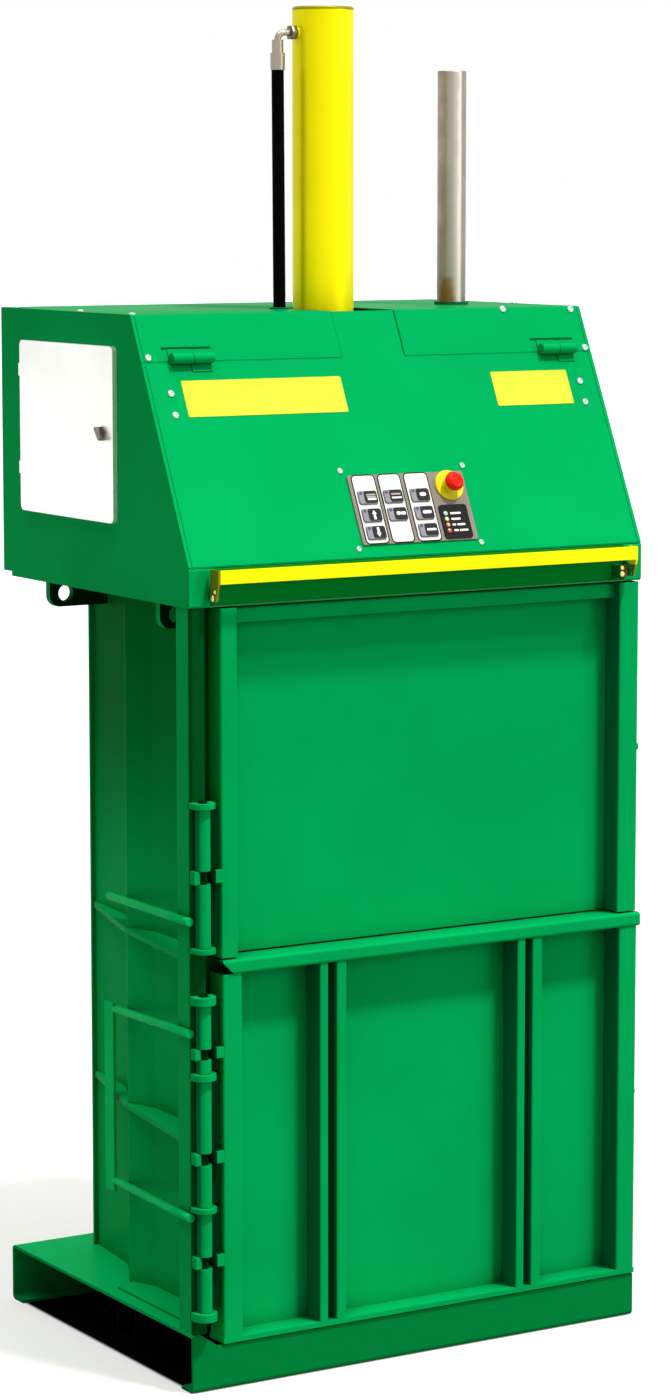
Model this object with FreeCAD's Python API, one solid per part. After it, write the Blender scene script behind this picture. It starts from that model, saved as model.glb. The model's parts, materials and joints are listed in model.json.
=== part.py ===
"""Upright recycling baler: a press that squeezes card and film into a strapped bale.

Millimetres, Z up. Everything is drawn with Y = 0 at the front edge of the base and
X = 0 on the middle plane; save() moves it so that the origin lies on the floor under
the middle of the base. Front is -Y.
"""
import FreeCAD, Part
import math
import os

os.makedirs("parts", exist_ok=True)

V = FreeCAD.Vector

# ---------------------------------------------------------------- fits
FACE_GAP = 0.3          # curved faces that meet on different bodies
RUN_FIT = 0.05          # radial play of a pin or rod in its bore
DOOR_GAP = 3.0          # daylight round a hinged door or cover
KEY_GAP = 0.3           # play of a push key in its opening
CUT = 1.0               # how far a cutting body reaches past the metal it cuts
TOUCH = 0.01            # an edge this close to a plane lies in it

# ---------------------------------------------------------------- base
BASE_WIDTH = 1000.0
BASE_DEPTH = 745.0
BASE_HEIGHT = 112.0
BASE_SHEET = 6.0
BASE_BEND = 4.0         # inside radius of the folds
BASE_FLANGE = 45.0      # inward foot flange under each skirt
NOTCH_DEPTH = 58.0      # the top is cut back for the bale door
NOTCH_FLOOR = 85.0
NOTCH_END = 15.0        # whole top that is left at the notch's left end
NOTCH_SLANT = 39.0
STRAP_SLOT_WIDTH = 18.0
STRAP_FRONT = 80.0      # strap grooves in the base top, from front to rear
STRAP_REAR = 610.0
BEAM_WIDTH = 80.0       # cross channel under the chamber
BEAM_LENGTH = 880.0
BEAM_SHEET = 6.0
BEAM_FLANGE = 30.0

# ---------------------------------------------------------------- chamber
WALL_SHEET = 6.0
WALL_BEND = 3.0
WALL_TOP = 1600.0
WALL_X = 407.0          # outer face of the straight front part
WALL_FRONT = 54.0       # front of the flange that the doors close against
FOLD_Y = 315.0
RIDGE_X, RIDGE_Y = WALL_X + 25.0, FOLD_Y + 63.0
JOG_X, JOG_Y = WALL_X - 17.0, RIDGE_Y + 42.0
FACET_X, FACET_Y = JOG_X - 9.0, JOG_Y + 55.0
FACET2_X, FACET2_Y = FACET_X - 10.0, FACET_Y + 16.0
CORNER_X, CORNER_Y = WALL_X - 55.0, 655.0
STIFFENER_X = 150.0     # upright channels behind the rear wall
STIFFENER_WIDTH = 60.0
STIFFENER_DEPTH = 40.0
STIFFENER_SHEET = 5.0
HEADER_FRONT = 64.0     # cross wall above the feed door
HEADER_BOTTOM = 1472.0

POST_WIDTH = 30.0
POST_DEPTH = 58.0
POST_SHEET = 4.0
POST_X = 497.0          # outer face of each corner post
POST_FRONT = 2.0
WALL_FLANGE_X = POST_X - POST_WIDTH     # the wall's front flange ends at the post
RIGHT_POST_FRONT = 60.0
RIGHT_POST_DEPTH = 50.0

RIB_SHEET = 10.0
RIB_LEVELS = (810.0, 465.0)
RIB_POST_X = POST_X - 17.0      # outer edge of a rib at the post
RIB_RIDGE_X = RIDGE_X + 4.0
RIB_TIP_X, RIB_TIP_Y = CORNER_X + 8.0, CORNER_Y - 8.0
FOOT_SHEET = 5.0        # lowest rib, on the base top
FOOT_X, FOOT_Y = 470.0, 350.0
FOOT_TIP_X, FOOT_TIP_Y = RIDGE_X - 3.0, FOOT_Y + 18.0

LUG_SHEET = 16.0
LUG_X = POST_X - 10.0
LUG_BOTTOM = 1418.0
LUG_HOLE_X, LUG_HOLE_Z = 452.0, 1444.0
LUG_HOLE_RADIUS = 16.0
LUG_CORNER = 22.0
LUG_FRONT_Y = 143.0
LUG_REAR_Y = 586.0

ROD_RADIUS = 8.0
ROD_REAR_X, ROD_REAR_Y = 419.8, 467.0
ROD_BEND_Y = 67.0       # behind the post, so that the front run lies on its side
ROD_FRONT_Y = -4.0
ROD_BEND_RADIUS = 60.0
ROD_LEVELS = ((894.0, 862.0), (685.0, 640.0), (338.0, 299.0))   # front, rear
ROD_STRAP_DEPTH = 36.0
ROD_STRAP_SHEET = 6.0

# ---------------------------------------------------------------- hood
HOOD_SHEET = 2.0
HOOD_X = POST_X + 5.0
HOOD_FRONT = -2.0
HOOD_REAR = 745.0
HOOD_TOP = 1993.0
HOOD_FOLD_Y = 215.5
HOOD_SIDE_BOTTOM = 1478.0
LIP_TOP = 1542.0
TRAY_BOTTOM = 1469.0
TRAY_SHEET = 3.0
TRAY_REAR = 710.0
TRAY_HOLE_X = 470.0
TRAY_HOLE_FRONT = 50.0
TRAY_HOLE_REAR = 665.0
LIP_RETURN = 14.0
VENT_X = 250.0          # middle of each row of vent slots in the rear panel
VENT_LENGTH = 120.0
VENT_HEIGHT = 6.0
VENT_PITCH = 18.0
VENT_ROWS = 6
VENT_LOW = 1840.0
SIDE_FLANGE = 15.0      # inward flange that the covers lie on

SLOPE_ANGLE = math.degrees(math.atan2(HOOD_TOP - LIP_TOP, HOOD_FOLD_Y - HOOD_FRONT))
SLOPE_LENGTH = math.hypot(HOOD_TOP - LIP_TOP, HOOD_FOLD_Y - HOOD_FRONT)
SEAM = 404.0            # distance up the slope of the seam under the top cover
SEAM_GAP = 1.5          # half of the open seam
COVER_START = 2.0
COVER_RETURN = 20.0
TONGUE_LEFT, TONGUE_RIGHT = -70.0, 70.0
CYLINDER_HOLE = 71.0
TUBE_HOLE = 31.0
HOSE_HOLE = 15.0        # holes in the top cover for the guide tube and the hose

COVER_AXIS_LIFT = 10.5  # hinge axis above the sloped face
COVER_AXIS = 407.0      # and its distance up the slope
COVER_BARREL = 10.0
COVER_PIN = 4.0
HINGE_SPANS = ((-443.0, -356.0), (378.0, 458.0))
HINGE_SLOTS = ((-454.0, -350.0), (365.0, 465.0))
HINGE_SLOT_LOW, HINGE_SLOT_HIGH = 429.0, 434.0
HINGE_LEAF = 2.0
HINGE_LEAF_LOW = 384.0

# ---------------------------------------------------------------- controls
PLATE_X0, PLATE_X1 = -126.0, 130.0
PLATE_S0, PLATE_S1 = 26.0, 164.5
PLATE_SHEET = 3.0
PLATE_CORNER = 3.0
KEY_COLUMNS = (-92.6, -36.3, 23.0)
KEY_ROWS = (119.0, 83.3, 48.5)
KEY_BLANK = (1, 2)      # column and row without a key
KEY_WIDTH, KEY_HEIGHT = 41.0, 26.5
KEY_CORNER = 5.0
KEY_SOFT = 1.5          # rounding of a key's top edge
KEY_PROUD = 7.0
KEY_DEPTH = 2.0         # below the face of the cover
KEY_TRAVEL = 3.0
BLOCK_X0, BLOCK_X1 = -119.0, 50.0
BLOCK_S0, BLOCK_S1 = 30.0, 137.0
BLOCK_DEPTH = 34.0
STOP_X, STOP_S = 93.0, 136.0
STOP_DISC, STOP_DISC_SHEET = 30.0, 3.0
STOP_NECK, STOP_NECK_HEIGHT = 16.0, 12.0
STOP_STEM = 11.0
STOP_HEAD = 19.0
STOP_HEAD_HEIGHT = 13.0
STOP_RIM = 5.0          # upright rim of the head
STOP_CROWN = 13.7       # radius of the head's flat crown
STOP_CROWN_DROP = 1.5
STOP_ROUNDING = (1.5, 4.0, 6.0)     # under the rim, over the rim, round the crown
STOP_ROOT = 4.0         # how far the stem reaches behind the cover's face
STOP_TRAVEL = 4.0
LAMP_X0, LAMP_X1 = 57.0, 118.5
LAMP_S0, LAMP_S1 = 29.0, 96.5
LAMP_SHEET = 2.0
LAMP_X = 68.5
LAMP_ROWS = (79.0, 67.5, 56.0, 44.5)
LAMP_RADIUS = 3.2
LAMP_SINK = 1.0         # a dome's centre lies this far under the field's face
LAMP_CORNER = 6.0

# ---------------------------------------------------------------- trip bar
TRIP_X0, TRIP_X1 = -462.0, 468.0
TRIP_FRONT = -38.5
TRIP_SHEET = 3.0
TRIP_LOW, TRIP_HIGH = 1514.0, 1539.5
TRIP_ARM_LOW = 1481.0
TRIP_ARM = 4.0
TRIP_PIN_Y, TRIP_PIN_Z = -19.0, 1489.0
TRIP_PIN_RADIUS = 4.0
TRIP_HEEL = 9.0         # from the pivot to the arm's lower front corner
TRIP_REAR_GAP = 7.0     # between the arms and the lip
TRIP_CORNER = 2.0
TRIP_EAR = 4.0          # ears on the lip that carry the pivots
TRIP_EAR_REACH = 8.0
TRIP_EAR_CORNER = 4.0

# ---------------------------------------------------------------- cabinet
CABINET_Y0, CABINET_Y1 = 268.0, 648.0
CABINET_Z0, CABINET_Z1 = 1604.0, 1933.0
CABINET_PROUD = 10.0
CABINET_CORNER = 12.0
CABINET_RIM = 15.0      # the box is this much smaller than its door
CABINET_SHEET = 2.0
CABINET_BACK_X = -WALL_X - 13.0
CABINET_HINGE_RADIUS = 4.5
CABINET_HINGE_LENGTH = 50.0
CABINET_HINGE_INSET = 70.0      # from the door's corner to the middle of a hinge
CABINET_PIN = 2.0
CABINET_PIN_SHORT = 4.0         # the pin ends this far inside the door's knuckle
CABINET_LEAF_WIDTH = 22.0
CABINET_WEB = 3.0
CABINET_DOOR_WEB = 4.0
LOCK_Y, LOCK_Z = 308.0, 1770.0
LOCK_SHAFT, LOCK_HEAD = 8.0, 13.5
LOCK_FACE = 3.0         # thickness of the lock's round head
LOCK_WING = (7.0, 30.0, 10.0)   # width, length and height of its grip
LOCK_WING_TURN = 40.0   # degrees from upright
LOCK_TONGUE = 20.0
LOCK_TONGUE_WIDTH = 16.0
LOCK_TONGUE_SHEET = 3.0
KEEPER_SETBACK = 6.0    # from the side panel to the strip the tongue locks behind
KEEPER_WIDTH = 14.0
KEEPER_HEIGHT = 50.0
MOUNT_INSET = 15.0      # from the box's inner wall to the edge of the mounting plate
MOUNT_SHEET = 2.0
GEAR_COUNT = 3          # switchgear blocks on the plate
GEAR_WIDTH, GEAR_HEIGHT, GEAR_DEPTH = 52.0, 70.0, 45.0
GEAR_PITCH = 70.0
GEAR_INSET = 62.0       # from the door's front edge
GEAR_LIFT = 196.0       # from the door's lower edge
RAIL_LENGTH, RAIL_HEIGHT, RAIL_DEPTH = 270.0, 35.0, 12.0
RAIL_LIFT = 86.0
CLAMPS_LENGTH, CLAMPS_HEIGHT, CLAMPS_DEPTH = 250.0, 55.0, 23.0

# ---------------------------------------------------------------- doors
DOOR_LEFT, DOOR_RIGHT = -436.0, 500.0
DOOR_REAR = 50.0
DOOR_PANEL = 4.0
DOOR_TUBE_SHEET = 4.0
FEED_FRONT = 0.0
FEED_TOP = 1466.0
FEED_POST_LEFT, FEED_POST_RIGHT = -400.0, 454.0     # inner edges of the two posts
FEED_RAIL = 30.0
BALE_FRONT = -4.0
BALE_BOTTOM, BALE_TOP = 88.0, 788.0
BAR_HEIGHT = 27.0
BAR_TOP = BALE_TOP + BAR_HEIGHT
FEED_BOTTOM = BAR_TOP + 3.5
BALE_POST_LEFT, BALE_POST_RIGHT = -394.0, 457.0
LEDGE = 10.0
BAR_FRONT = -8.0
BAR_RIGHT = 504.0
BAR_SHEET = 4.0
BAR_LOW_FLANGE = 16.0
BAR_CHAMFER = 24.0
CHANNELS = ((-227.0, -208.0, -190.0, -168.0), (218.0, 237.0, 253.0, 276.0))
CHANNEL_BOTTOM = 98.0
CHANNEL_SHEET = 3.0
SLOT_BOTTOM, SLOT_TOP = CHANNEL_BOTTOM + 32.0, BALE_TOP - 28.0

HINGE_X, HINGE_Y = -482.0, -13.0
HINGE_BARREL = 14.0
HINGE_PIN = 8.0
HINGE_PLATE_HALF = 23.0
HINGE_CLEAR = 0.5       # between a knuckle's end and the fixed plate
FEED_PLATES = ((FEED_BOTTOM + 17.5, FEED_BOTTOM + 26.5),
               (FEED_BOTTOM + 285.5, FEED_BOTTOM + 295.5))
FEED_GAPS = ((FEED_BOTTOM + 145.5, FEED_BOTTOM + 170.5),)
BALE_PLATES = ((144.0, 159.0), (350.0, 359.0), (599.0, 611.0), (740.0, 755.0))
BALE_GAPS = ((243.0, 266.0), (439.0, 462.0), (637.0, 658.0))
HINGE_LEAF_SHEET = 5.0
HINGE_CRANK = 27.0      # from the door's edge to where the leaf is cranked
POST_BLOCK = (-503.0, -489.0)
DOOR_BLOCK = (-458.0, -442.0)
BLOCK_REACH = 6.0       # how far a block stands before the hinge axis
HINGE_PIN_END = 4.0     # the pins show this much beyond the outer plates

LATCH_SHEET = 8.0
LATCH_Y = 85.0
LATCH_PIN_Y = 25.0
LATCH_LEVELS = (1140.0, 450.0)
LATCH_STUD = 9.0
LATCH_HOOK_PIN = 8.0
LATCH_WIDTH = 32.0
LATCH_HANDLE = 150.0
LATCH_PLAY = 1.0        # of the hook pin in the mouth
LATCH_LEAD = 2.0        # more on the side where the pin comes in on its arc
LATCH_SIDE_GAP = 2.0    # between the door's side and the lever
LATCH_HEAD = 3.0        # head of the stud
LATCH_HEAD_RIM = 5.0
LATCH_PIN_END = 4.0     # the hook pin shows this much beyond the lever

# ---------------------------------------------------------------- press
PRESS_Y = 360.0         # axis of the cylinder, X = 0
BEAM_GAP = 100.0        # from the axis to each crosshead beam
CROSS_WIDTH, CROSS_HEIGHT, CROSS_SHEET = 50.0, 120.0, 8.0
HEAD_SHEET = 16.0
HEAD_HALF = WALL_X - 7.0
BARREL_RADIUS = 59.0
BORE_RADIUS = 50.0
BARREL_BOTTOM = 1640.0
BARREL_TOP = 2568.0
BARREL_CAP = 25.0
FLANGE_RADIUS = 95.0
FLANGE_FLAT = 68.0      # the flange is cut flat here to clear the valve block
BARREL_EDGE = 3.0
BOSS_LENGTH = 8.0
GLAND_HEIGHT = 60.0
PISTON_HEIGHT = 60.0
PISTON_ROD = 30.0
PLATEN_BOTTOM = 1485.0
PLATEN_PLATE = 14.0
PLATEN_RIB = 10.0
PLATEN_RIB_HEIGHT = 76.0
PLATEN_GAP = 8.0
PLATEN_BOSS = 55.0
PLATEN_BOSS_HEIGHT = 40.0
PLATEN_SOCKET = 8.0     # wall of the socket that holds the guide tube
PLATEN_FRONT_RIB = 70.0     # cross ribs, before and behind the cylinder's axis
PLATEN_REAR_RIB = 110.0
PLATEN_REAR_END = 40.0  # the rear cross rib ends this far inside the rim
PLATEN_GROOVE = 8.0     # depth of the strap grooves
TUBE_X, TUBE_Y = 341.0, 430.0
TUBE_RADIUS, TUBE_SHEET = 28.5, 4.0
TUBE_TOP = 2453.0
BUSH_RADIUS, BUSH_FLANGE = 34.0, 42.0
BUSH_HEIGHT = 40.0
BUSH_RIM = 10.0
TUBE_EDGE = 2.0
SEAL_SHEET = 6.0
HOSE_X = -101.0
HOSE_RADIUS = 12.0
FERRULE_RADIUS, FERRULE_HEIGHT = 14.0, 32.0
SLEEVE_RADIUS, SLEEVE_HEIGHT = 11.0, 25.0
ELBOW_RADIUS = 6.5
ELBOW_BEND = 15.0
ELBOW_Z = BARREL_TOP - 50.0
ELBOW_DROP = 39.0       # from the port's axis down to the upper ferrule
HOSE_TOP = ELBOW_Z - ELBOW_DROP - FERRULE_HEIGHT
BOSS_RADIUS = 12.0
VALVE_X0, VALVE_X1 = -160.0, -75.0
VALVE_HALF = 40.0
VALVE_TOP = 1836.0
HOSE_BOTTOM = VALVE_TOP + 36.0
VALVE_EDGE = 2.0
COIL_X = -140.0
COIL_RADIUS, COIL_HEIGHT = 17.0, 55.0
TANK_HALF = 365.0
TANK_FRONT, TANK_REAR = 515.0, 730.0
TANK_TOP = 1750.0
TANK_SHEET = 3.0
TANK_CORNER = 8.0
FILLER_INSET = 60.0
FILLER_RADIUS, FILLER_HEIGHT = 24.0, 30.0
MOTOR_X, MOTOR_Y = -190.0, 625.0
MOTOR_RADIUS = 78.0
MOTOR_HEIGHT = 215.0
MOTOR_FINS = 18
MOTOR_FOOT = 12.0
MOTOR_FAN = 45.0        # height of the fan cover
MOTOR_FAN_INSET = 4.0
MOTOR_CORE_INSET = 14.0
FIN_SHEET = 3.0
FIN_INSET = 6.0
FIN_ROOT = 20.0
PUMP_RADIUS = 40.0
PUMP_HEIGHT = 110.0
PIPE_RADIUS = 6.0
PIPE_BEND = 16.0
PIPE_Y = 550.0          # where the pipe goes down into the tank


# ================================================================ helpers
def save(name, shape):
    """Write one sub-part, moved so that the origin is the middle of the base."""
    part = shape.copy()
    part.translate(V(0, -BASE_DEPTH / 2, 0))
    if not part.isValid():
        raise ValueError("shape is not valid: " + name)
    part.exportStep("parts/" + name + ".step")


def box(x0, x1, y0, y1, z0, z1):
    return Part.makeBox(x1 - x0, y1 - y0, z1 - z0, V(x0, y0, z0))


def cylinder(start, end, radius):
    line = end.sub(start)
    return Part.makeCylinder(radius, line.Length, start, line)


def pipe(start, end, outer, inner):
    return cylinder(start, end, outer).cut(cylinder(start, end, inner))


def join(shapes):
    """Fuse a list of touching solids into one."""
    return shapes[0].fuse(shapes[1:]).removeSplitter() if len(shapes) > 1 else shapes[0]


def unit(start, end):
    length = math.hypot(end[0] - start[0], end[1] - start[1])
    return ((end[0] - start[0]) / length, (end[1] - start[1]) / length)


def rounded_wire(points, radii):
    """Closed plane wire through points, each corner rounded by its radius."""
    starts = []
    ends = []
    middles = []
    count = len(points)
    for i, corner in enumerate(points):
        back = unit(corner, points[i - 1])
        ahead = unit(corner, points[(i + 1) % count])
        radius = radii[i]
        cosine = max(-1.0, min(1.0, back[0] * ahead[0] + back[1] * ahead[1]))
        half = math.acos(cosine) / 2
        if radius <= 0 or math.pi / 2 - half < 0.001:
            starts.append(corner)
            ends.append(corner)
            middles.append(None)
            continue
        reach = radius / math.tan(half)
        bisector = unit((0, 0), (back[0] + ahead[0], back[1] + ahead[1]))
        depth = radius / math.sin(half) - radius
        starts.append((corner[0] + back[0] * reach, corner[1] + back[1] * reach))
        ends.append((corner[0] + ahead[0] * reach, corner[1] + ahead[1] * reach))
        middles.append((corner[0] + bisector[0] * depth, corner[1] + bisector[1] * depth))
    edges = []
    for i in range(count):
        if middles[i] is not None:
            arc = Part.Arc(V(*starts[i], 0), V(*middles[i], 0), V(*ends[i], 0))
            edges.append(arc.toShape())
        following = starts[(i + 1) % count]
        edges.append(Part.LineSegment(V(*ends[i], 0), V(*following, 0)).toShape())
    return Part.Wire(edges)


def outline(points, axis, low, high, radius=0.0, radii=None):
    """Extrude a plane outline along an axis from low to high.

    The outline is (x, y) for Z, (x, z) for Y and (y, z) for X.
    """
    corner_radii = radii if radii is not None else [radius] * len(points)
    face = Part.Face(rounded_wire(points, corner_radii))
    solid = face.extrude(V(0, 0, high - low))
    if axis == "Z":
        solid.translate(V(0, 0, low))
    elif axis == "Y":
        solid.rotate(V(0, 0, 0), V(1, 0, 0), 90)
        solid.translate(V(0, high, 0))
    else:
        solid.rotate(V(0, 0, 0), V(1, 1, 1), 120)
        solid.translate(V(low, 0, 0))
    return solid


def offset_line(points, distance):
    """The open line moved to its right side by a distance, corners mitred."""
    moved = []
    last = len(points) - 1
    for i, point in enumerate(points):
        before = unit(points[i - 1], point) if i > 0 else unit(point, points[1])
        after = unit(point, points[i + 1]) if i < last else before
        first = (before[1], -before[0])
        second = (after[1], -after[0])
        scale = distance / (1 + first[0] * second[0] + first[1] * second[1])
        moved.append((point[0] + (first[0] + second[0]) * scale,
                      point[1] + (first[1] + second[1]) * scale))
    return moved


def folded(points, sheet, bend, axis, low, high):
    """A sheet folded along an open line; the metal lies on the line's right side."""
    inner = offset_line(points, sheet)
    last = len(points) - 1
    outer_radii = [0.0]
    inner_radii = [0.0]
    for i in range(1, last):
        before = unit(points[i - 1], points[i])
        after = unit(points[i], points[i + 1])
        right_turn = before[0] * after[1] - before[1] * after[0] < 0
        outer_radii.append(bend + sheet if right_turn else bend)
        inner_radii.append(bend if right_turn else bend + sheet)
    outer_radii.append(0.0)
    inner_radii.append(0.0)
    return outline(points + inner[::-1], axis, low, high,
                   radii=outer_radii + inner_radii[::-1])


def mirrored(shape):
    return shape.mirror(V(0, 0, 0), V(1, 0, 0))


def slope(shape):
    """Lay a part drawn as (X, distance up the slope, height off it) on the hood."""
    placed = shape.copy()
    placed.rotate(V(0, 0, 0), V(1, 0, 0), SLOPE_ANGLE)
    placed.translate(V(0, HOOD_FRONT, LIP_TOP))
    return placed


def edges_at(shape, level):
    """The edges that lie in the level plane at that height."""
    return [edge for edge in shape.Edges
            if abs(edge.BoundBox.ZMin - level) < TOUCH
            and abs(edge.BoundBox.ZMax - level) < TOUCH]


def rounded_box(x0, x1, y0, y1, z0, z1, radius):
    return outline([(x0, y0), (x1, y0), (x1, y1), (x0, y1)], "Z", z0, z1, radius)


def rectangular_tube(x0, x1, y0, y1, z0, z1, sheet):
    outer = rounded_box(x0, x1, y0, y1, z0, z1, sheet * 1.25)
    inner = box(x0 + sheet, x1 - sheet, y0 + sheet, y1 - sheet, z0, z1)
    return outer.cut(inner)


# ================================================================ base
def base_frame():
    """One folded sheet, open at both ends, notched in front for the bale door."""
    line = [(BASE_FLANGE, 0), (0, 0), (0, BASE_HEIGHT), (BASE_DEPTH, BASE_HEIGHT),
            (BASE_DEPTH, 0), (BASE_DEPTH - BASE_FLANGE, 0)]
    half = BASE_WIDTH / 2
    sheet = folded(line, BASE_SHEET, BASE_BEND, "X", -half, half)
    notch_x = NOTCH_END - half
    notch = outline([(notch_x, BASE_HEIGHT + CUT), (notch_x + NOTCH_SLANT, NOTCH_FLOOR),
                     (half + CUT, NOTCH_FLOOR), (half + CUT, BASE_HEIGHT + CUT)],
                    "Y", -CUT, NOTCH_DEPTH)
    sheet = sheet.cut(notch)
    for channel in CHANNELS:
        middle = (channel[1] + channel[2]) / 2
        reach = STRAP_SLOT_WIDTH / 2
        groove = rounded_box(middle - reach, middle + reach, STRAP_FRONT, STRAP_REAR,
                             BASE_HEIGHT - 2 * BASE_SHEET, BASE_HEIGHT + CUT,
                             reach - CUT)
        sheet = sheet.cut(groove)
    return sheet


def base_beam():
    """Channel across the base under the press axis; its web rests on the floor."""
    middle = BASE_DEPTH / 2
    half = BEAM_WIDTH / 2
    top = BASE_HEIGHT - BASE_SHEET
    line = [(middle + half - BEAM_FLANGE, top), (middle + half, top), (middle + half, 0),
            (middle - half, 0), (middle - half, top), (middle - half + BEAM_FLANGE, top)]
    return folded(line, BEAM_SHEET, BASE_BEND, "X", -BEAM_LENGTH / 2, BEAM_LENGTH / 2)


# ================================================================ chamber
def wall_line():
    """Outer face of the left side wall in plan, from its front flange to the rear."""
    return [(-WALL_FLANGE_X, WALL_FRONT + WALL_SHEET), (-WALL_X, WALL_FRONT + WALL_SHEET),
            (-WALL_X, FOLD_Y), (-RIDGE_X, RIDGE_Y), (-JOG_X, JOG_Y),
            (-FACET_X, FACET_Y), (-FACET2_X, FACET2_Y), (-CORNER_X, CORNER_Y)]


def chamber_wall():
    """Left side wall: one sheet with a front flange, a guide groove and a taper."""
    line = wall_line()
    direction = unit(line[-2], line[-1])
    line[-1] = (line[-1][0] + direction[0] * WALL_SHEET,
                line[-1][1] + direction[1] * WALL_SHEET)
    wall = folded(line, WALL_SHEET, WALL_BEND, "Z", BASE_HEIGHT, WALL_TOP)
    beyond = box(-WALL_X, 0, CORNER_Y, BASE_DEPTH, 0, WALL_TOP + CUT)
    return wall.cut(beyond)


def rear_wall():
    """Rear wall with two welded upright channels."""
    front = CORNER_Y
    rear = front + WALL_SHEET
    pieces = [box(-RIB_TIP_X, RIB_TIP_X, front, rear, BASE_HEIGHT, WALL_TOP)]
    for side in (-1, 1):
        middle = side * STIFFENER_X
        half = STIFFENER_WIDTH / 2
        line = [(middle - half, rear), (middle - half, rear + STIFFENER_DEPTH),
                (middle + half, rear + STIFFENER_DEPTH), (middle + half, rear)]
        pieces.append(folded(line, STIFFENER_SHEET, WALL_BEND, "Z",
                             BASE_HEIGHT, TRAY_BOTTOM))
    return join(pieces)


def header():
    """Cross wall between the side walls, above the feed opening."""
    reach = WALL_X - WALL_SHEET
    return box(-reach, reach, HEADER_FRONT, HEADER_FRONT + WALL_SHEET,
               HEADER_BOTTOM, WALL_TOP)


def left_post():
    return rectangular_tube(-POST_X, -POST_X + POST_WIDTH, POST_FRONT,
                            POST_FRONT + POST_DEPTH, BASE_HEIGHT, TRAY_BOTTOM, POST_SHEET)


def right_post():
    return rectangular_tube(POST_X - POST_WIDTH, POST_X, RIGHT_POST_FRONT,
                            RIGHT_POST_FRONT + RIGHT_POST_DEPTH,
                            BASE_HEIGHT, TRAY_BOTTOM, POST_SHEET)


def side_rib(level, front):
    """Flat plate round the outside of the left wall, cut off square at its post."""
    line = [point for point in wall_line() if point[1] > WALL_FRONT + WALL_SHEET]
    inner = [(-WALL_X, front)] + line[:-1]
    direction = unit(line[-2], line[-1])
    reach = (RIB_TIP_Y - line[-2][1]) / direction[1]
    inner.append((line[-2][0] + direction[0] * reach, RIB_TIP_Y))
    run = (RIDGE_Y - front) / (RIDGE_Y - (POST_FRONT + POST_DEPTH))
    post_x = RIB_RIDGE_X + (RIB_POST_X - RIB_RIDGE_X) * run
    outer = [(-post_x, front), (-RIB_RIDGE_X, RIDGE_Y), (-RIB_TIP_X, RIB_TIP_Y)]
    return outline(outer + inner[::-1], "Z", level - RIB_SHEET / 2, level + RIB_SHEET / 2)


def foot_rib(front):
    """Lowest plate, welded to the base top and to the straight part of the wall."""
    points = [(-FOOT_X, front), (-FOOT_X, FOOT_Y), (-FOOT_TIP_X, FOOT_TIP_Y),
              (-WALL_X, FOLD_Y), (-WALL_X, front)]
    return outline(points, "Z", BASE_HEIGHT, BASE_HEIGHT + FOOT_SHEET)


def lug(y_middle, root):
    """Lifting eye plate, square to the side, rounded at its free lower corner."""
    points = [(-LUG_X, LUG_BOTTOM), (root, LUG_BOTTOM), (root, TRAY_BOTTOM),
              (-LUG_X, TRAY_BOTTOM)]
    plate = outline(points, "Y", y_middle - LUG_SHEET / 2, y_middle + LUG_SHEET / 2,
                    radii=[LUG_CORNER, 0, 0, 0])
    hole = cylinder(V(-LUG_HOLE_X, y_middle - LUG_SHEET, LUG_HOLE_Z),
                    V(-LUG_HOLE_X, y_middle + LUG_SHEET, LUG_HOLE_Z), LUG_HOLE_RADIUS)
    return plate.cut(hole)


def rear_lug_plate():
    """The rear lug meets the tapered wall, so its root follows that face."""
    plate = lug(LUG_REAR_Y, -CORNER_X)
    start, end = (-FACET2_X, FACET2_Y), (-CORNER_X, CORNER_Y)
    inside = outline([start, end, (0, CORNER_Y), (0, FACET2_Y)], "Z", 0, WALL_TOP)
    return plate.cut(inside)


def side_rod(front_z, rear_z):
    """Round bar from the post's left face past the ridge of the wall to the rear."""
    front_x = -POST_X - ROD_RADIUS
    points = [V(-ROD_REAR_X, ROD_REAR_Y, rear_z), V(front_x, ROD_BEND_Y, front_z),
              V(front_x, ROD_FRONT_Y, front_z)]
    return swept(points, ROD_RADIUS, ROD_BEND_RADIUS)


def swept(points, radius, bend_radius):
    """Round bar or pipe along straight runs joined by tangent arcs."""
    edges = []
    start = points[0]
    for i in range(1, len(points) - 1):
        corner = points[i]
        back = points[i - 1].sub(corner)
        ahead = points[i + 1].sub(corner)
        back.normalize()
        ahead.normalize()
        half = back.getAngle(ahead) / 2
        reach = bend_radius / math.tan(half)
        bisector = back.add(ahead)
        bisector.normalize()
        begin = corner.add(V(back).multiply(reach))
        finish = corner.add(V(ahead).multiply(reach))
        depth = bend_radius / math.sin(half) - bend_radius
        middle = corner.add(bisector.multiply(depth))
        edges.append(Part.LineSegment(start, begin).toShape())
        edges.append(Part.Arc(begin, middle, finish).toShape())
        start = finish
    edges.append(Part.LineSegment(start, points[-1]).toShape())
    path = Part.Wire(edges)
    normal = points[1].sub(points[0])
    profile = Part.Wire([Part.makeCircle(radius, points[0], normal)])
    solid = path.makePipeShell([profile], True, False)
    return solid


def rod_strap():
    """Upright flat that joins the rear ends of the two lower rods."""
    inner = -ROD_REAR_X - ROD_RADIUS
    low = ROD_LEVELS[2][1] - 2 * ROD_RADIUS
    high = ROD_LEVELS[1][1] + 2 * ROD_RADIUS
    return box(inner - ROD_STRAP_SHEET, inner, ROD_REAR_Y - ROD_STRAP_DEPTH,
               ROD_REAR_Y, low, high)


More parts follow.
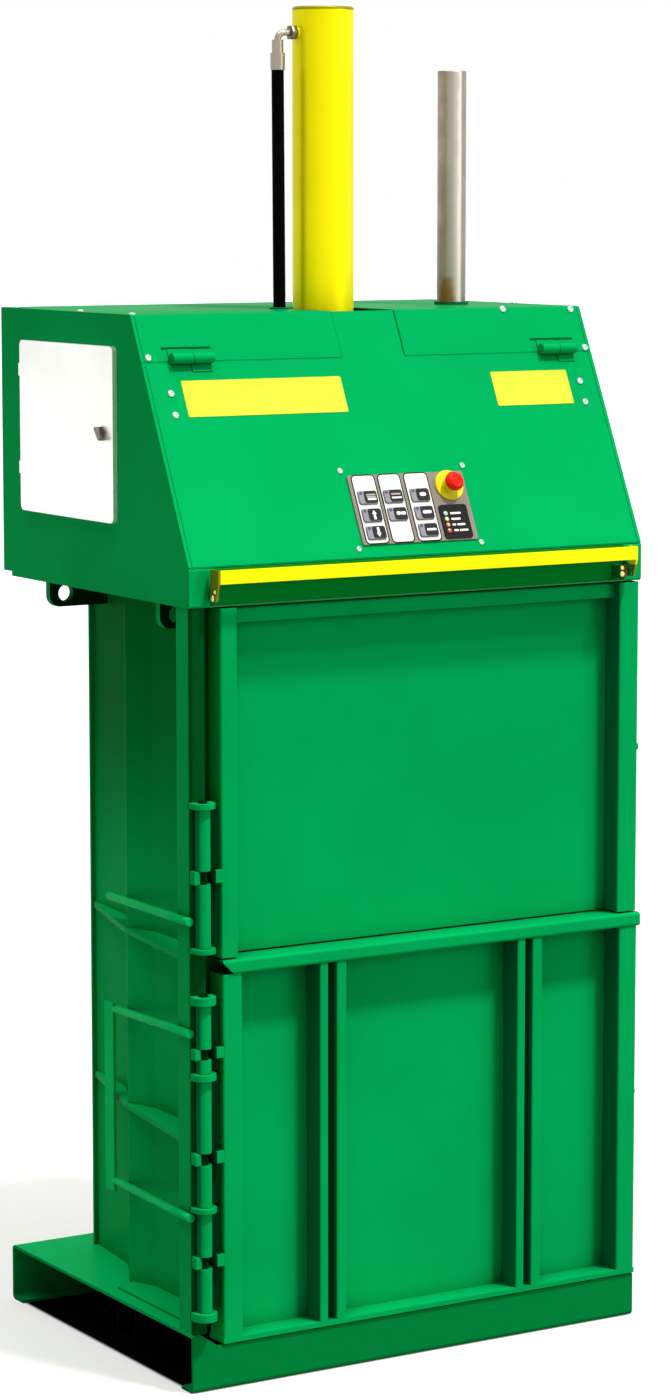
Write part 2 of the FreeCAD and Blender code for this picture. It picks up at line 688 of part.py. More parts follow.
# ================================================================ hood
def hood_tray():
    """Folded floor of the hood: a rim all round, a tall lip in front."""
    floor = box(-HOOD_X, HOOD_X, HOOD_FRONT, TRAY_REAR, TRAY_BOTTOM,
                TRAY_BOTTOM + TRAY_SHEET)
    hole = rounded_box(-TRAY_HOLE_X, TRAY_HOLE_X, TRAY_HOLE_FRONT, TRAY_HOLE_REAR,
                       TRAY_BOTTOM - CUT, TRAY_BOTTOM + TRAY_SHEET + CUT, 2 * TRAY_SHEET)
    rear = box(-HOOD_X, HOOD_X, TRAY_REAR - TRAY_SHEET, TRAY_REAR, TRAY_BOTTOM,
               HOOD_SIDE_BOTTOM)
    left = box(-HOOD_X, -HOOD_X + TRAY_SHEET, HOOD_FRONT, TRAY_REAR, TRAY_BOTTOM,
               HOOD_SIDE_BOTTOM)
    lip_line = [(TRAY_HOLE_FRONT, TRAY_BOTTOM), (HOOD_FRONT, TRAY_BOTTOM),
                (HOOD_FRONT, LIP_TOP), (HOOD_FRONT + LIP_RETURN, LIP_TOP)]
    lip = folded(lip_line, TRAY_SHEET, BASE_BEND / 2, "X", -HOOD_X, HOOD_X)
    inside = HOOD_X - HOOD_SHEET
    for low, high in ((-HOOD_X - CUT, -inside), (inside, HOOD_X + CUT)):
        lip = lip.cut(box(low, high, HOOD_FRONT + TRAY_SHEET, TRAY_HOLE_FRONT,
                          HOOD_SIDE_BOTTOM, LIP_TOP + CUT))
    before = box(-HOOD_X - CUT, HOOD_X + CUT, HOOD_FRONT - CUT, HOOD_FRONT + 2 * TRAY_SHEET,
                 0, LIP_TOP)
    floor = floor.cut(hole).cut(before)
    left = left.cut(before)
    return join([lip, floor, rear, left, mirrored(left)])


def slope_point(distance, height):
    """(y, z) of a point given up the slope and off it."""
    angle = math.radians(SLOPE_ANGLE)
    return (HOOD_FRONT + distance * math.cos(angle) - height * math.sin(angle),
            LIP_TOP + distance * math.sin(angle) + height * math.cos(angle))


def hood_side():
    """Left side panel with an inward flange under the sloped and top covers."""
    sheet = HOOD_SHEET
    lip_rear = HOOD_FRONT + TRAY_SHEET
    foot = slope_point(2 * TRAY_SHEET, -sheet)
    rise = math.tan(math.radians(SLOPE_ANGLE))
    corner_z = foot[1] - (foot[0] - lip_rear) * rise
    top = HOOD_TOP - sheet
    fold_y = foot[0] + (top - foot[1]) / rise
    rear = HOOD_REAR - sheet
    points = [(lip_rear, HOOD_SIDE_BOTTOM), (lip_rear, corner_z), (fold_y, top),
              (rear, top), (rear, HOOD_SIDE_BOTTOM)]
    panel = outline(points, "X", -HOOD_X, -HOOD_X + sheet, radii=[0, 0, 2 * sheet, 0, 0])
    rim = CABINET_RIM + CABINET_SHEET
    hole = box(-HOOD_X - CUT, -HOOD_X + sheet + CUT, CABINET_Y0 + rim, CABINET_Y1 - rim,
               CABINET_Z0 + rim, CABINET_Z1 - rim)
    flange = folded([foot, (fold_y, top), (rear, top)], sheet, sheet, "X",
                    -HOOD_X + sheet, -HOOD_X + sheet + SIDE_FLANGE)
    return panel, flange, hole


def left_hood_side():
    panel, flange, hole = hood_side()
    return join([panel, flange]).cut(hole)


def right_hood_side():
    panel, flange, hole = hood_side()
    return mirrored(join([panel, flange]))


def rear_panel():
    """Rear panel of the hood with rows of vent slots."""
    front = HOOD_REAR - HOOD_SHEET
    panel = box(-HOOD_X, HOOD_X, front, HOOD_REAR, HOOD_SIDE_BOTTOM, HOOD_TOP - HOOD_SHEET)
    slots = []
    for x_middle in (-VENT_X, VENT_X):
        for row in range(VENT_ROWS):
            low = VENT_LOW + row * VENT_PITCH
            slots.append(box(x_middle - VENT_LENGTH / 2, x_middle + VENT_LENGTH / 2,
                             front - CUT, HOOD_REAR + CUT, low, low + VENT_HEIGHT))
    return panel.cut(slots)


def hood_top():
    """Top cover, folded down over the slope as far as the seam."""
    seam_y, seam_z = slope_point(SEAM + SEAM_GAP, 0)
    line = [(seam_y, seam_z), (HOOD_FOLD_Y, HOOD_TOP), (HOOD_REAR, HOOD_TOP)]
    cover = folded(line, HOOD_SHEET, HOOD_SHEET, "X", -HOOD_X, HOOD_X)
    round_end = cylinder(V(0, PRESS_Y, LIP_TOP), V(0, PRESS_Y, HOOD_TOP + CUT), CYLINDER_HOLE)
    throat = box(-CYLINDER_HOLE, CYLINDER_HOLE, 0, PRESS_Y, LIP_TOP, HOOD_TOP + CUT)
    cover = cover.cut(join([round_end, throat]))
    for x_hole, y_hole, radius in ((TUBE_X, TUBE_Y, TUBE_HOLE),
                                   (HOSE_X, PRESS_Y, HOSE_HOLE)):
        cover = cover.cut(cylinder(V(x_hole, y_hole, LIP_TOP),
                                   V(x_hole, y_hole, HOOD_TOP + CUT), radius))
    for start, end in HINGE_SLOTS:
        slot = slope(box(start, end, HINGE_SLOT_LOW, HINGE_SLOT_HIGH,
                         -2 * HOOD_SHEET, HOOD_SHEET))
        cover = cover.cut(slot)
    return cover


def hood_cover():
    """Sloped front cover that carries the controls; its tongue closes the notch."""
    sheet = box(-HOOD_X, HOOD_X, COVER_START, SEAM - SEAM_GAP, -HOOD_SHEET, 0)
    tongue = box(TONGUE_LEFT, TONGUE_RIGHT, SEAM - 2 * SEAM_GAP,
                 SLOPE_LENGTH - HOOD_SHEET / 2, -HOOD_SHEET, 0)
    inset = HOOD_X - SIDE_FLANGE - 2 * HOOD_SHEET - DOOR_GAP
    flange = box(-inset, inset, LIP_RETURN, LIP_RETURN + HOOD_SHEET, -COVER_RETURN, 0)
    cover = join([sheet, tongue, flange])
    window = box(BLOCK_X0, BLOCK_X1, BLOCK_S0, BLOCK_S1, -2 * HOOD_SHEET, CUT)
    stem = cylinder(V(STOP_X, STOP_S, -2 * HOOD_SHEET), V(STOP_X, STOP_S, CUT),
                    STOP_STEM + RUN_FIT)
    return slope(cover.cut(window).cut(stem))


def cover_hinges_fixed():
    """Knuckles with pins and leaves on the top cover, one pair per hinge."""
    pieces = []
    for start, end in HINGE_SPANS:
        middle = (start + end) / 2
        knuckle = cylinder(V(start, COVER_AXIS, COVER_AXIS_LIFT),
                           V(middle - HINGE_CLEAR, COVER_AXIS, COVER_AXIS_LIFT),
                           COVER_BARREL)
        leaf = box(start, middle - HINGE_CLEAR, COVER_AXIS, HINGE_SLOT_LOW, 0, HINGE_LEAF)
        pin = cylinder(V(middle - COVER_PIN, COVER_AXIS, COVER_AXIS_LIFT),
                       V(end - 2 * HINGE_CLEAR, COVER_AXIS, COVER_AXIS_LIFT), COVER_PIN)
        pieces.append(join([knuckle, leaf, pin]))
    return slope(Part.makeCompound(pieces))


def cover_hinges_moving():
    """Knuckles and leaves on the front cover."""
    pieces = []
    for start, end in HINGE_SPANS:
        middle = (start + end) / 2
        knuckle = cylinder(V(middle + HINGE_CLEAR, COVER_AXIS, COVER_AXIS_LIFT),
                           V(end, COVER_AXIS, COVER_AXIS_LIFT), COVER_BARREL)
        leaf = box(middle + HINGE_CLEAR, end, HINGE_LEAF_LOW, COVER_AXIS, 0, HINGE_LEAF)
        bore = cylinder(V(middle, COVER_AXIS, COVER_AXIS_LIFT),
                        V(end - HINGE_CLEAR, COVER_AXIS, COVER_AXIS_LIFT),
                        COVER_PIN + RUN_FIT)
        clear = box(middle, end, SEAM + HINGE_CLEAR, HINGE_SLOT_HIGH, -CUT,
                    COVER_AXIS_LIFT - COVER_BARREL)
        pieces.append(join([knuckle, leaf]).cut(bore).cut(clear))
    return slope(Part.makeCompound(pieces))


# ================================================================ controls
def key_places():
    places = []
    for column, x_middle in enumerate(KEY_COLUMNS):
        for row, s_middle in enumerate(KEY_ROWS):
            if (column, row) != KEY_BLANK:
                places.append((x_middle, s_middle))
    return places


def key_box(place, gap, low, high):
    """Rounded block for a key, or for its opening when gap is above zero."""
    half_width = KEY_WIDTH / 2 + gap
    half_height = KEY_HEIGHT / 2 + gap
    return rounded_box(place[0] - half_width, place[0] + half_width,
                       place[1] - half_height, place[1] + half_height,
                       low, high, KEY_CORNER + gap)


def control_plate():
    """Face plate with openings for the keys and the stop button."""
    plate = rounded_box(PLATE_X0, PLATE_X1, PLATE_S0, PLATE_S1, 0, PLATE_SHEET, PLATE_CORNER)
    for place in key_places():
        plate = plate.cut(key_box(place, KEY_GAP, -CUT, PLATE_SHEET + CUT))
    stem = cylinder(V(STOP_X, STOP_S, -CUT), V(STOP_X, STOP_S, PLATE_SHEET + CUT),
                    STOP_STEM + RUN_FIT)
    return slope(plate.cut(stem))


def switch_block():
    """Moulded block behind the plate, with one pocket for each key."""
    block = box(BLOCK_X0, BLOCK_X1, BLOCK_S0, BLOCK_S1, -BLOCK_DEPTH, 0)
    for place in key_places():
        block = block.cut(key_box(place, KEY_GAP, -KEY_DEPTH - KEY_TRAVEL - CUT, CUT))
    return slope(block)


def push_key(place):
    """Push key with a softened top edge."""
    key = key_box(place, 0, -KEY_DEPTH, KEY_PROUD)
    return slope(key.makeFillet(KEY_SOFT, edges_at(key, KEY_PROUD)))


def stop_collar():
    """Yellow disc and neck round the stop button's stem."""
    face = PLATE_SHEET
    disc = cylinder(V(STOP_X, STOP_S, face), V(STOP_X, STOP_S, face + STOP_DISC_SHEET),
                    STOP_DISC)
    top = face + STOP_DISC_SHEET + STOP_NECK_HEIGHT
    neck = cylinder(V(STOP_X, STOP_S, face), V(STOP_X, STOP_S, top), STOP_NECK)
    bore = cylinder(V(STOP_X, STOP_S, face - CUT), V(STOP_X, STOP_S, top + CUT),
                    STOP_STEM + RUN_FIT)
    return slope(join([disc, neck]).cut(bore))


def stop_button():
    """Mushroom head on a round stem, turned as one profile."""
    low = PLATE_SHEET + STOP_DISC_SHEET + STOP_NECK_HEIGHT + STOP_TRAVEL + HINGE_CLEAR
    top = low + STOP_HEAD_HEIGHT
    profile = [(0, -STOP_ROOT), (STOP_STEM, -STOP_ROOT), (STOP_STEM, low), (STOP_HEAD, low),
               (STOP_HEAD, low + STOP_RIM), (STOP_CROWN, top - STOP_CROWN_DROP), (0, top)]
    radii = [0, 0, 0, *STOP_ROUNDING, 0]
    face = Part.Face(rounded_wire(profile, radii))
    face.rotate(V(0, 0, 0), V(1, 0, 0), 90)
    button = face.revolve(V(0, 0, 0), V(0, 0, 1), 360)
    button.translate(V(STOP_X, STOP_S, 0))
    return slope(button)


def lamp_panel():
    """Raised lamp field with four lens domes."""
    low = PLATE_SHEET + LAMP_SHEET
    panel = rounded_box(LAMP_X0, LAMP_X1, LAMP_S0, LAMP_S1, PLATE_SHEET, low, LAMP_CORNER)
    for row in LAMP_ROWS:
        panel = panel.fuse(Part.makeSphere(LAMP_RADIUS, V(LAMP_X, row, low - LAMP_SINK)))
    behind = box(LAMP_X0, LAMP_X1, LAMP_S0, LAMP_S1, -LAMP_RADIUS, PLATE_SHEET)
    return slope(panel.cut(behind))


# ================================================================ trip bar
def trip_bar():
    """Yellow strip across the front with a cranked arm at each end."""
    strip = box(TRIP_X0, TRIP_X1, TRIP_FRONT, TRIP_FRONT + TRIP_SHEET, TRIP_LOW, TRIP_HIGH)
    rear = HOOD_FRONT - TRIP_REAR_GAP
    points = [(TRIP_FRONT, TRIP_HIGH), (TRIP_FRONT, TRIP_LOW),
              (TRIP_PIN_Y - TRIP_HEEL, TRIP_ARM_LOW), (rear, TRIP_ARM_LOW), (rear, TRIP_HIGH)]
    pin = cylinder(V(TRIP_X0 - CUT, TRIP_PIN_Y, TRIP_PIN_Z),
                   V(TRIP_X1 + CUT, TRIP_PIN_Y, TRIP_PIN_Z), TRIP_PIN_RADIUS + RUN_FIT)
    left = outline(points, "X", TRIP_X0, TRIP_X0 + TRIP_ARM, TRIP_CORNER).cut(pin)
    right = outline(points, "X", TRIP_X1 - TRIP_ARM, TRIP_X1, TRIP_CORNER).cut(pin)
    return join([strip, left, right])


def trip_ears():
    """Two ears on the lip, each with the pin that an arm turns on."""
    pieces = []
    for inner, outward in ((TRIP_X0 + TRIP_ARM, -1), (TRIP_X1 - TRIP_ARM, 1)):
        start = inner - outward * HINGE_CLEAR
        end = start - outward * TRIP_EAR
        low, high = min(start, end), max(start, end)
        front = TRIP_PIN_Y - TRIP_EAR_REACH
        ear = outline([(HOOD_FRONT, TRIP_ARM_LOW), (HOOD_FRONT, TRIP_LOW),
                       (front, TRIP_PIN_Z + TRIP_EAR_REACH), (front, TRIP_ARM_LOW)],
                      "X", low, high, radii=[0, 0, TRIP_EAR_CORNER, TRIP_EAR_CORNER])
        tip = inner + outward * (TRIP_ARM + TRIP_PIN_RADIUS)
        pin = cylinder(V(end, TRIP_PIN_Y, TRIP_PIN_Z), V(tip, TRIP_PIN_Y, TRIP_PIN_Z),
                       TRIP_PIN_RADIUS)
        pieces.append(join([ear, pin]))
    return pieces


# ================================================================ cabinet
def cabinet_box():
    """Shallow steel box behind the left side panel, open towards its door."""
    outer_y0, outer_y1 = CABINET_Y0 + CABINET_RIM, CABINET_Y1 - CABINET_RIM
    outer_z0, outer_z1 = CABINET_Z0 + CABINET_RIM, CABINET_Z1 - CABINET_RIM
    face = -HOOD_X + HOOD_SHEET
    sheet = CABINET_SHEET
    outer = box(face, CABINET_BACK_X, outer_y0, outer_y1, outer_z0, outer_z1)
    inner = box(face - CUT, CABINET_BACK_X - sheet, outer_y0 + sheet, outer_y1 - sheet,
                outer_z0 + sheet, outer_z1 - sheet)
    keeper = box(face + KEEPER_SETBACK, face + KEEPER_SETBACK + sheet, outer_y0,
                 outer_y0 + KEEPER_WIDTH, LOCK_Z - KEEPER_HEIGHT / 2,
                 LOCK_Z + KEEPER_HEIGHT / 2)
    return join([outer.cut(inner), keeper])


def cabinet_knuckles(on_door):
    """Ends of the knuckles of the cabinet's upright hinge."""
    pieces = []
    y_axis = CABINET_Y1 + CABINET_HINGE_RADIUS + HINGE_CLEAR
    x_axis = -HOOD_X - CABINET_HINGE_RADIUS - HINGE_CLEAR
    for centre in (CABINET_Z0 + CABINET_HINGE_INSET, CABINET_Z1 - CABINET_HINGE_INSET):
        half = CABINET_HINGE_LENGTH / 2
        start, end = (HINGE_CLEAR, half) if on_door else (-half, 0)
        pieces.append((V(x_axis, y_axis, centre + start), V(x_axis, y_axis, centre + end)))
    return pieces


def cabinet_hinges():
    """Fixed knuckles with pins, on the side panel behind the door's rear edge."""
    pieces = []
    past = CABINET_HINGE_LENGTH / 2 - CABINET_PIN_SHORT
    for start, end in cabinet_knuckles(False):
        barrel = cylinder(start, end, CABINET_HINGE_RADIUS)
        leaf = box(-HOOD_X - CABINET_SHEET, -HOOD_X, start.y, start.y + CABINET_LEAF_WIDTH,
                   start.z, end.z)
        web = box(-HOOD_X - CABINET_HINGE_RADIUS, -HOOD_X, start.y, start.y + CABINET_WEB,
                  start.z, end.z)
        pin = cylinder(start, V(end.x, end.y, end.z + past), CABINET_PIN)
        pieces.append(join([barrel, leaf, web, pin]))
    return pieces


def cabinet_door():
    """Pan-shaped white door with rounded corners, its lock bush and knuckles."""
    outer = outline([(CABINET_Y0, CABINET_Z0), (CABINET_Y1, CABINET_Z0),
                     (CABINET_Y1, CABINET_Z1), (CABINET_Y0, CABINET_Z1)], "X",
                    -HOOD_X - CABINET_PROUD, -HOOD_X - FACE_GAP, CABINET_CORNER)
    sheet = CABINET_SHEET
    inner = outline([(CABINET_Y0 + sheet, CABINET_Z0 + sheet),
                     (CABINET_Y1 - sheet, CABINET_Z0 + sheet),
                     (CABINET_Y1 - sheet, CABINET_Z1 - sheet),
                     (CABINET_Y0 + sheet, CABINET_Z1 - sheet)], "X",
                    -HOOD_X - CABINET_PROUD + sheet, -HOOD_X, CABINET_CORNER - sheet)
    hole = cylinder(V(-HOOD_X - CABINET_PROUD - CUT, LOCK_Y, LOCK_Z),
                    V(-HOOD_X, LOCK_Y, LOCK_Z), LOCK_SHAFT + RUN_FIT)
    door = outer.cut(inner).cut(hole)
    for start, end in cabinet_knuckles(True):
        barrel = cylinder(start, end, CABINET_HINGE_RADIUS)
        web = box(start.x - CABINET_DOOR_WEB / 2, start.x + CABINET_DOOR_WEB / 2,
                  CABINET_Y1 - sheet, start.y, start.z, end.z)
        bore = cylinder(start, end, CABINET_PIN + RUN_FIT)
        door = join([door, barrel, web]).cut(bore)
    return door


def cabinet_lock():
    """Cam lock: round head with a winged grip, shaft and the tongue behind the door."""
    face = -HOOD_X - CABINET_PROUD
    front = face - LOCK_FACE
    centre = V(front, LOCK_Y, LOCK_Z)
    head = cylinder(centre, V(face, LOCK_Y, LOCK_Z), LOCK_HEAD)
    width, length, height = LOCK_WING
    wing = rounded_box(-width / 2, width / 2, -length / 2, length / 2, 0, height, LOCK_FACE)
    wing.rotate(V(0, 0, 0), V(0, 1, 0), -90)
    wing.rotate(V(0, 0, 0), V(1, 0, 0), 90 - LOCK_WING_TURN)
    wing.translate(centre)
    inside = -HOOD_X + HOOD_SHEET + KEEPER_SETBACK + CABINET_SHEET + HINGE_CLEAR
    end = inside + LOCK_TONGUE_SHEET
    shaft = cylinder(V(face, LOCK_Y, LOCK_Z), V(end, LOCK_Y, LOCK_Z), LOCK_SHAFT)
    half = LOCK_TONGUE_WIDTH / 2
    tongue = box(inside, end, LOCK_Y - half, LOCK_Y + half, LOCK_Z, LOCK_Z + LOCK_TONGUE)
    return join([head, wing, shaft, tongue])


def mounting_plate():
    """Plate at the back of the cabinet with switchgear blocks and a rail of clamps."""
    back = CABINET_BACK_X - CABINET_SHEET
    face = back - MOUNT_SHEET
    margin = CABINET_RIM + CABINET_SHEET + MOUNT_INSET
    pieces = [box(face, back, CABINET_Y0 + margin, CABINET_Y1 - margin,
                  CABINET_Z0 + margin, CABINET_Z1 - margin)]
    start = CABINET_Y0 + GEAR_INSET
    low = CABINET_Z0 + GEAR_LIFT
    for number in range(GEAR_COUNT):
        near = start + number * GEAR_PITCH
        pieces.append(box(face - GEAR_DEPTH, face, near, near + GEAR_WIDTH,
                          low, low + GEAR_HEIGHT))
    rail_low = CABINET_Z0 + RAIL_LIFT
    rail_face = face - RAIL_DEPTH
    pieces.append(box(rail_face, face, start, start + RAIL_LENGTH,
                      rail_low, rail_low + RAIL_HEIGHT))
    middle_y = start + RAIL_LENGTH / 2
    middle_z = rail_low + RAIL_HEIGHT / 2
    pieces.append(box(rail_face - CLAMPS_DEPTH, rail_face,
                      middle_y - CLAMPS_LENGTH / 2, middle_y + CLAMPS_LENGTH / 2,
                      middle_z - CLAMPS_HEIGHT / 2, middle_z + CLAMPS_HEIGHT / 2))
    return join(pieces)


# ================================================================ doors
def door_post(x0, x1, front, low, high):
    return rectangular_tube(x0, x1, front, DOOR_REAR, low, high, DOOR_TUBE_SHEET)


def knuckles(plates, gaps):
    """Door knuckles between the fixed plates, broken where the pin shows."""
    pieces = []
    spans = []
    for lower, upper in zip(plates[:-1], plates[1:]):
        start = lower[1] + HINGE_CLEAR
        for gap in gaps:
            if lower[1] < gap[0] < upper[0]:
                spans.append((start, gap[0]))
                start = gap[1]
        spans.append((start, upper[0] - HINGE_CLEAR))
    for low, high in spans:
        barrel = cylinder(V(HINGE_X, HINGE_Y, low), V(HINGE_X, HINGE_Y, high), HINGE_BARREL)
        rear = HINGE_Y + HINGE_BARREL
        crank = DOOR_LEFT - HINGE_CRANK
        leaf = outline([(HINGE_X, rear - HINGE_LEAF_SHEET), (HINGE_X, rear), (crank, rear),
                        (DOOR_LEFT, rear + 2 * HINGE_LEAF_SHEET),
                        (DOOR_LEFT, rear + HINGE_LEAF_SHEET),
                        (crank, rear - HINGE_LEAF_SHEET)], "Z", low, high)
        pieces.append(barrel.fuse(leaf))
    blocks = []
    for low, high in gaps:
        start, end = low + HINGE_CLEAR, high - HINGE_CLEAR
        rear = HINGE_Y + HINGE_BARREL + 2 * HINGE_LEAF_SHEET
        block = box(DOOR_BLOCK[0], DOOR_BLOCK[1], HINGE_Y - BLOCK_REACH, rear, start, end)
        tab = box(DOOR_BLOCK[1], DOOR_LEFT, rear - HINGE_LEAF_SHEET, rear, start, end)
        blocks.append(block.fuse(tab))
    low = plates[0][1]
    high = plates[-1][0]
    bore = cylinder(V(HINGE_X, HINGE_Y, low), V(HINGE_X, HINGE_Y, high), HINGE_PIN + RUN_FIT)
    return [piece.cut(bore) for piece in pieces] + blocks


def hinge_set(plates):
    """Fixed side of a door hinge: the plates on the post and the pin."""
    pieces = []
    rear = POST_FRONT
    for low, high in plates:
        plate = outline([(HINGE_X - HINGE_PLATE_HALF, rear),
                         (HINGE_X - HINGE_PLATE_HALF, HINGE_Y - HINGE_PLATE_HALF),
                         (HINGE_X + HINGE_PLATE_HALF, HINGE_Y - HINGE_PLATE_HALF),
                         (HINGE_X + HINGE_PLATE_HALF, rear)], "Z", low, high,
                        radii=[0, HINGE_PLATE_HALF - HINGE_CLEAR,
                               HINGE_PLATE_HALF - HINGE_CLEAR, 0])
        pieces.append(plate)
    pin = cylinder(V(HINGE_X, HINGE_Y, plates[0][0] - HINGE_PIN_END),
                   V(HINGE_X, HINGE_Y, plates[-1][1] + HINGE_PIN_END), HINGE_PIN)
    return join(pieces + [pin])


def stop_blocks(gaps):
    blocks = []
    for low, high in gaps:
        blocks.append(box(POST_BLOCK[0], POST_BLOCK[1], HINGE_Y - BLOCK_REACH, POST_FRONT,
                          low + HINGE_CLEAR, high - HINGE_CLEAR))
    return blocks


def feed_door():
    """Frame of the upper door: two box posts, a top rail and a bottom flange."""
    left = door_post(DOOR_LEFT, FEED_POST_LEFT, FEED_FRONT, FEED_BOTTOM, FEED_TOP)
    right = door_post(FEED_POST_RIGHT, DOOR_RIGHT, FEED_FRONT, FEED_BOTTOM, FEED_TOP)
    top = angle_bar(FEED_POST_LEFT, FEED_POST_RIGHT, DOOR_REAR - FEED_RAIL,
                    FEED_TOP - FEED_RAIL, FEED_TOP)
    frame = join([left, right, top] + knuckles(FEED_PLATES, FEED_GAPS))
    return Part.makeCompound([frame, latch_pin(LATCH_LEVELS[0])])


def angle_bar(x0, x1, front, low, high):
    """Angle bar across a door behind its front plane."""
    line = [(front, low), (front, high), (DOOR_REAR - DOOR_PANEL, high)]
    return folded(line, DOOR_PANEL, DOOR_PANEL / 2, "X", x0, x1)


def latch_pin(level):
    """Round pin on the door's right side that the latch hooks over."""
    end = DOOR_RIGHT + LATCH_SIDE_GAP + LATCH_SHEET + LATCH_PIN_END
    return cylinder(V(DOOR_RIGHT, LATCH_PIN_Y, level), V(end, LATCH_PIN_Y, level),
                    LATCH_HOOK_PIN)


def feed_panel():
    return box(FEED_POST_LEFT, FEED_POST_RIGHT, DOOR_REAR - DOOR_PANEL, DOOR_REAR,
               FEED_BOTTOM, FEED_TOP)


def bale_door():
    """Frame of the lower door: two box posts and the thick bottom ledge."""
    bottom = BALE_BOTTOM + LEDGE
    left = door_post(DOOR_LEFT, BALE_POST_LEFT, BALE_FRONT, bottom, BALE_TOP)
    right = door_post(BALE_POST_RIGHT, DOOR_RIGHT, BALE_FRONT, bottom, BALE_TOP)
    ledge = box(DOOR_LEFT, DOOR_RIGHT, BALE_FRONT, DOOR_REAR, BALE_BOTTOM, bottom)
    frame = join([left, right, ledge] + knuckles(BALE_PLATES, BALE_GAPS))
    return Part.makeCompound([frame, latch_pin(LATCH_LEVELS[1])])


def bale_panel():
    """Flat panel with one long strap slot inside each channel."""
    panel = box(BALE_POST_LEFT, BALE_POST_RIGHT, DOOR_REAR - DOOR_PANEL, DOOR_REAR,
                BALE_BOTTOM + LEDGE, BALE_TOP)
    for channel in CHANNELS:
        panel = panel.cut(box(channel[1], channel[2], DOOR_REAR - 2 * DOOR_PANEL,
                              DOOR_REAR + CUT, SLOT_BOTTOM, SLOT_TOP))
    return panel


def cross_bar():
    """Folded bar along the top of the lower door, its left end cut on the slant."""
    line = [(BAR_FRONT + BAR_LOW_FLANGE, BALE_TOP), (BAR_FRONT, BALE_TOP),
            (BAR_FRONT, BAR_TOP), (DOOR_REAR, BAR_TOP)]
    bar = folded(line, BAR_SHEET, BAR_SHEET / 2, "X", DOOR_LEFT, BAR_RIGHT)
    corner = outline([(DOOR_LEFT - CUT, BALE_TOP - CUT),
                      (DOOR_LEFT + BAR_CHAMFER, BALE_TOP - CUT),
                      (DOOR_LEFT - CUT, BAR_TOP - BAR_SHEET)], "Y",
                     BAR_FRONT - CUT, DOOR_REAR + CUT)
    return bar.cut(corner)


def strap_channel(edges):
    """Two upright box strips with the strap slot between them."""
    rear = DOOR_REAR - DOOR_PANEL
    pieces = []
    for x0, x1 in ((edges[0], edges[1]), (edges[2], edges[3])):
        pieces.append(rectangular_tube(x0, x1, BALE_FRONT, rear, CHANNEL_BOTTOM, BALE_TOP,
                                       CHANNEL_SHEET))
    tie = box(edges[1], edges[2], rear - CHANNEL_SHEET, rear, CHANNEL_BOTTOM, SLOT_BOTTOM)
    return join(pieces + [tie])


def latch_stud(level):
    """Shouldered stud on the right post that the latch lever turns on."""
    outer = DOOR_RIGHT + LATCH_SIDE_GAP + LATCH_SHEET
    end = outer + LATCH_HEAD
    stud = cylinder(V(POST_X, LATCH_Y, level), V(end, LATCH_Y, level), LATCH_STUD)
    head = cylinder(V(outer + RUN_FIT, LATCH_Y, level), V(end, LATCH_Y, level),
                    LATCH_STUD + LATCH_HEAD_RIM)
    return join([stud, head])


def latch_lever(level):
    """Lever hanging from its stud; raised, its hook takes the door's pin from below."""
    x0 = DOOR_RIGHT + LATCH_SIDE_GAP
    x1 = x0 + LATCH_SHEET
    half = LATCH_WIDTH / 2
    reach = LATCH_Y - LATCH_PIN_Y
    points = [(LATCH_Y - half, level + half), (LATCH_Y - half, level - LATCH_HANDLE),
              (LATCH_Y + half, level - LATCH_HANDLE), (LATCH_Y + half, level + half)]
    lever = outline(points, "X", x0, x1, half - LATCH_PLAY)
    mouth = LATCH_HOOK_PIN + LATCH_PLAY
    centre = level - reach
    low, high = centre - mouth, centre + mouth + LATCH_LEAD
    notch = outline([(LATCH_Y - LATCH_WIDTH, low), (LATCH_Y + mouth, low),
                     (LATCH_Y + mouth, high), (LATCH_Y - LATCH_WIDTH, high)],
                    "X", x0 - CUT, x1 + CUT, radii=[0, LATCH_PLAY, LATCH_PLAY, 0])
    bore = cylinder(V(x0 - CUT, LATCH_Y, level), V(x1 + CUT, LATCH_Y, level),
                    LATCH_STUD + RUN_FIT)
    return lever.cut(notch).cut(bore)


# ================================================================ press
def crosshead_beam(side):
    """Channel from wall to wall, its web towards the cylinder."""
    near = PRESS_Y + side * BEAM_GAP
    far = near + side * CROSS_WIDTH
    low, high = WALL_TOP, WALL_TOP + CROSS_HEIGHT
    if side > 0:
        line = [(far, low), (near, low), (near, high), (far, high)]
    else:
        line = [(far, high), (near, high), (near, low), (far, low)]
    return folded(line, CROSS_SHEET, CROSS_SHEET / 2, "X", -WALL_X, WALL_X)


def head_plate():
    """Plate on the two beams that takes the cylinder's flange and the guide bush."""
    low = WALL_TOP + CROSS_HEIGHT
    reach = BEAM_GAP + CROSS_WIDTH
    plate = box(-HEAD_HALF, HEAD_HALF, PRESS_Y - reach, PRESS_Y + reach, low,
                low + HEAD_SHEET)
    for x_hole, y_hole, radius in ((0, PRESS_Y, BARREL_RADIUS),
                                   (TUBE_X, TUBE_Y, BUSH_RADIUS)):
        plate = plate.cut(cylinder(V(x_hole, y_hole, low - CUT),
                                   V(x_hole, y_hole, low + HEAD_SHEET + CUT), radius))
    return plate


def ring(radius, inner, x_centre, y_centre, low, high):
    return pipe(V(x_centre, y_centre, low), V(x_centre, y_centre, high), radius, inner)


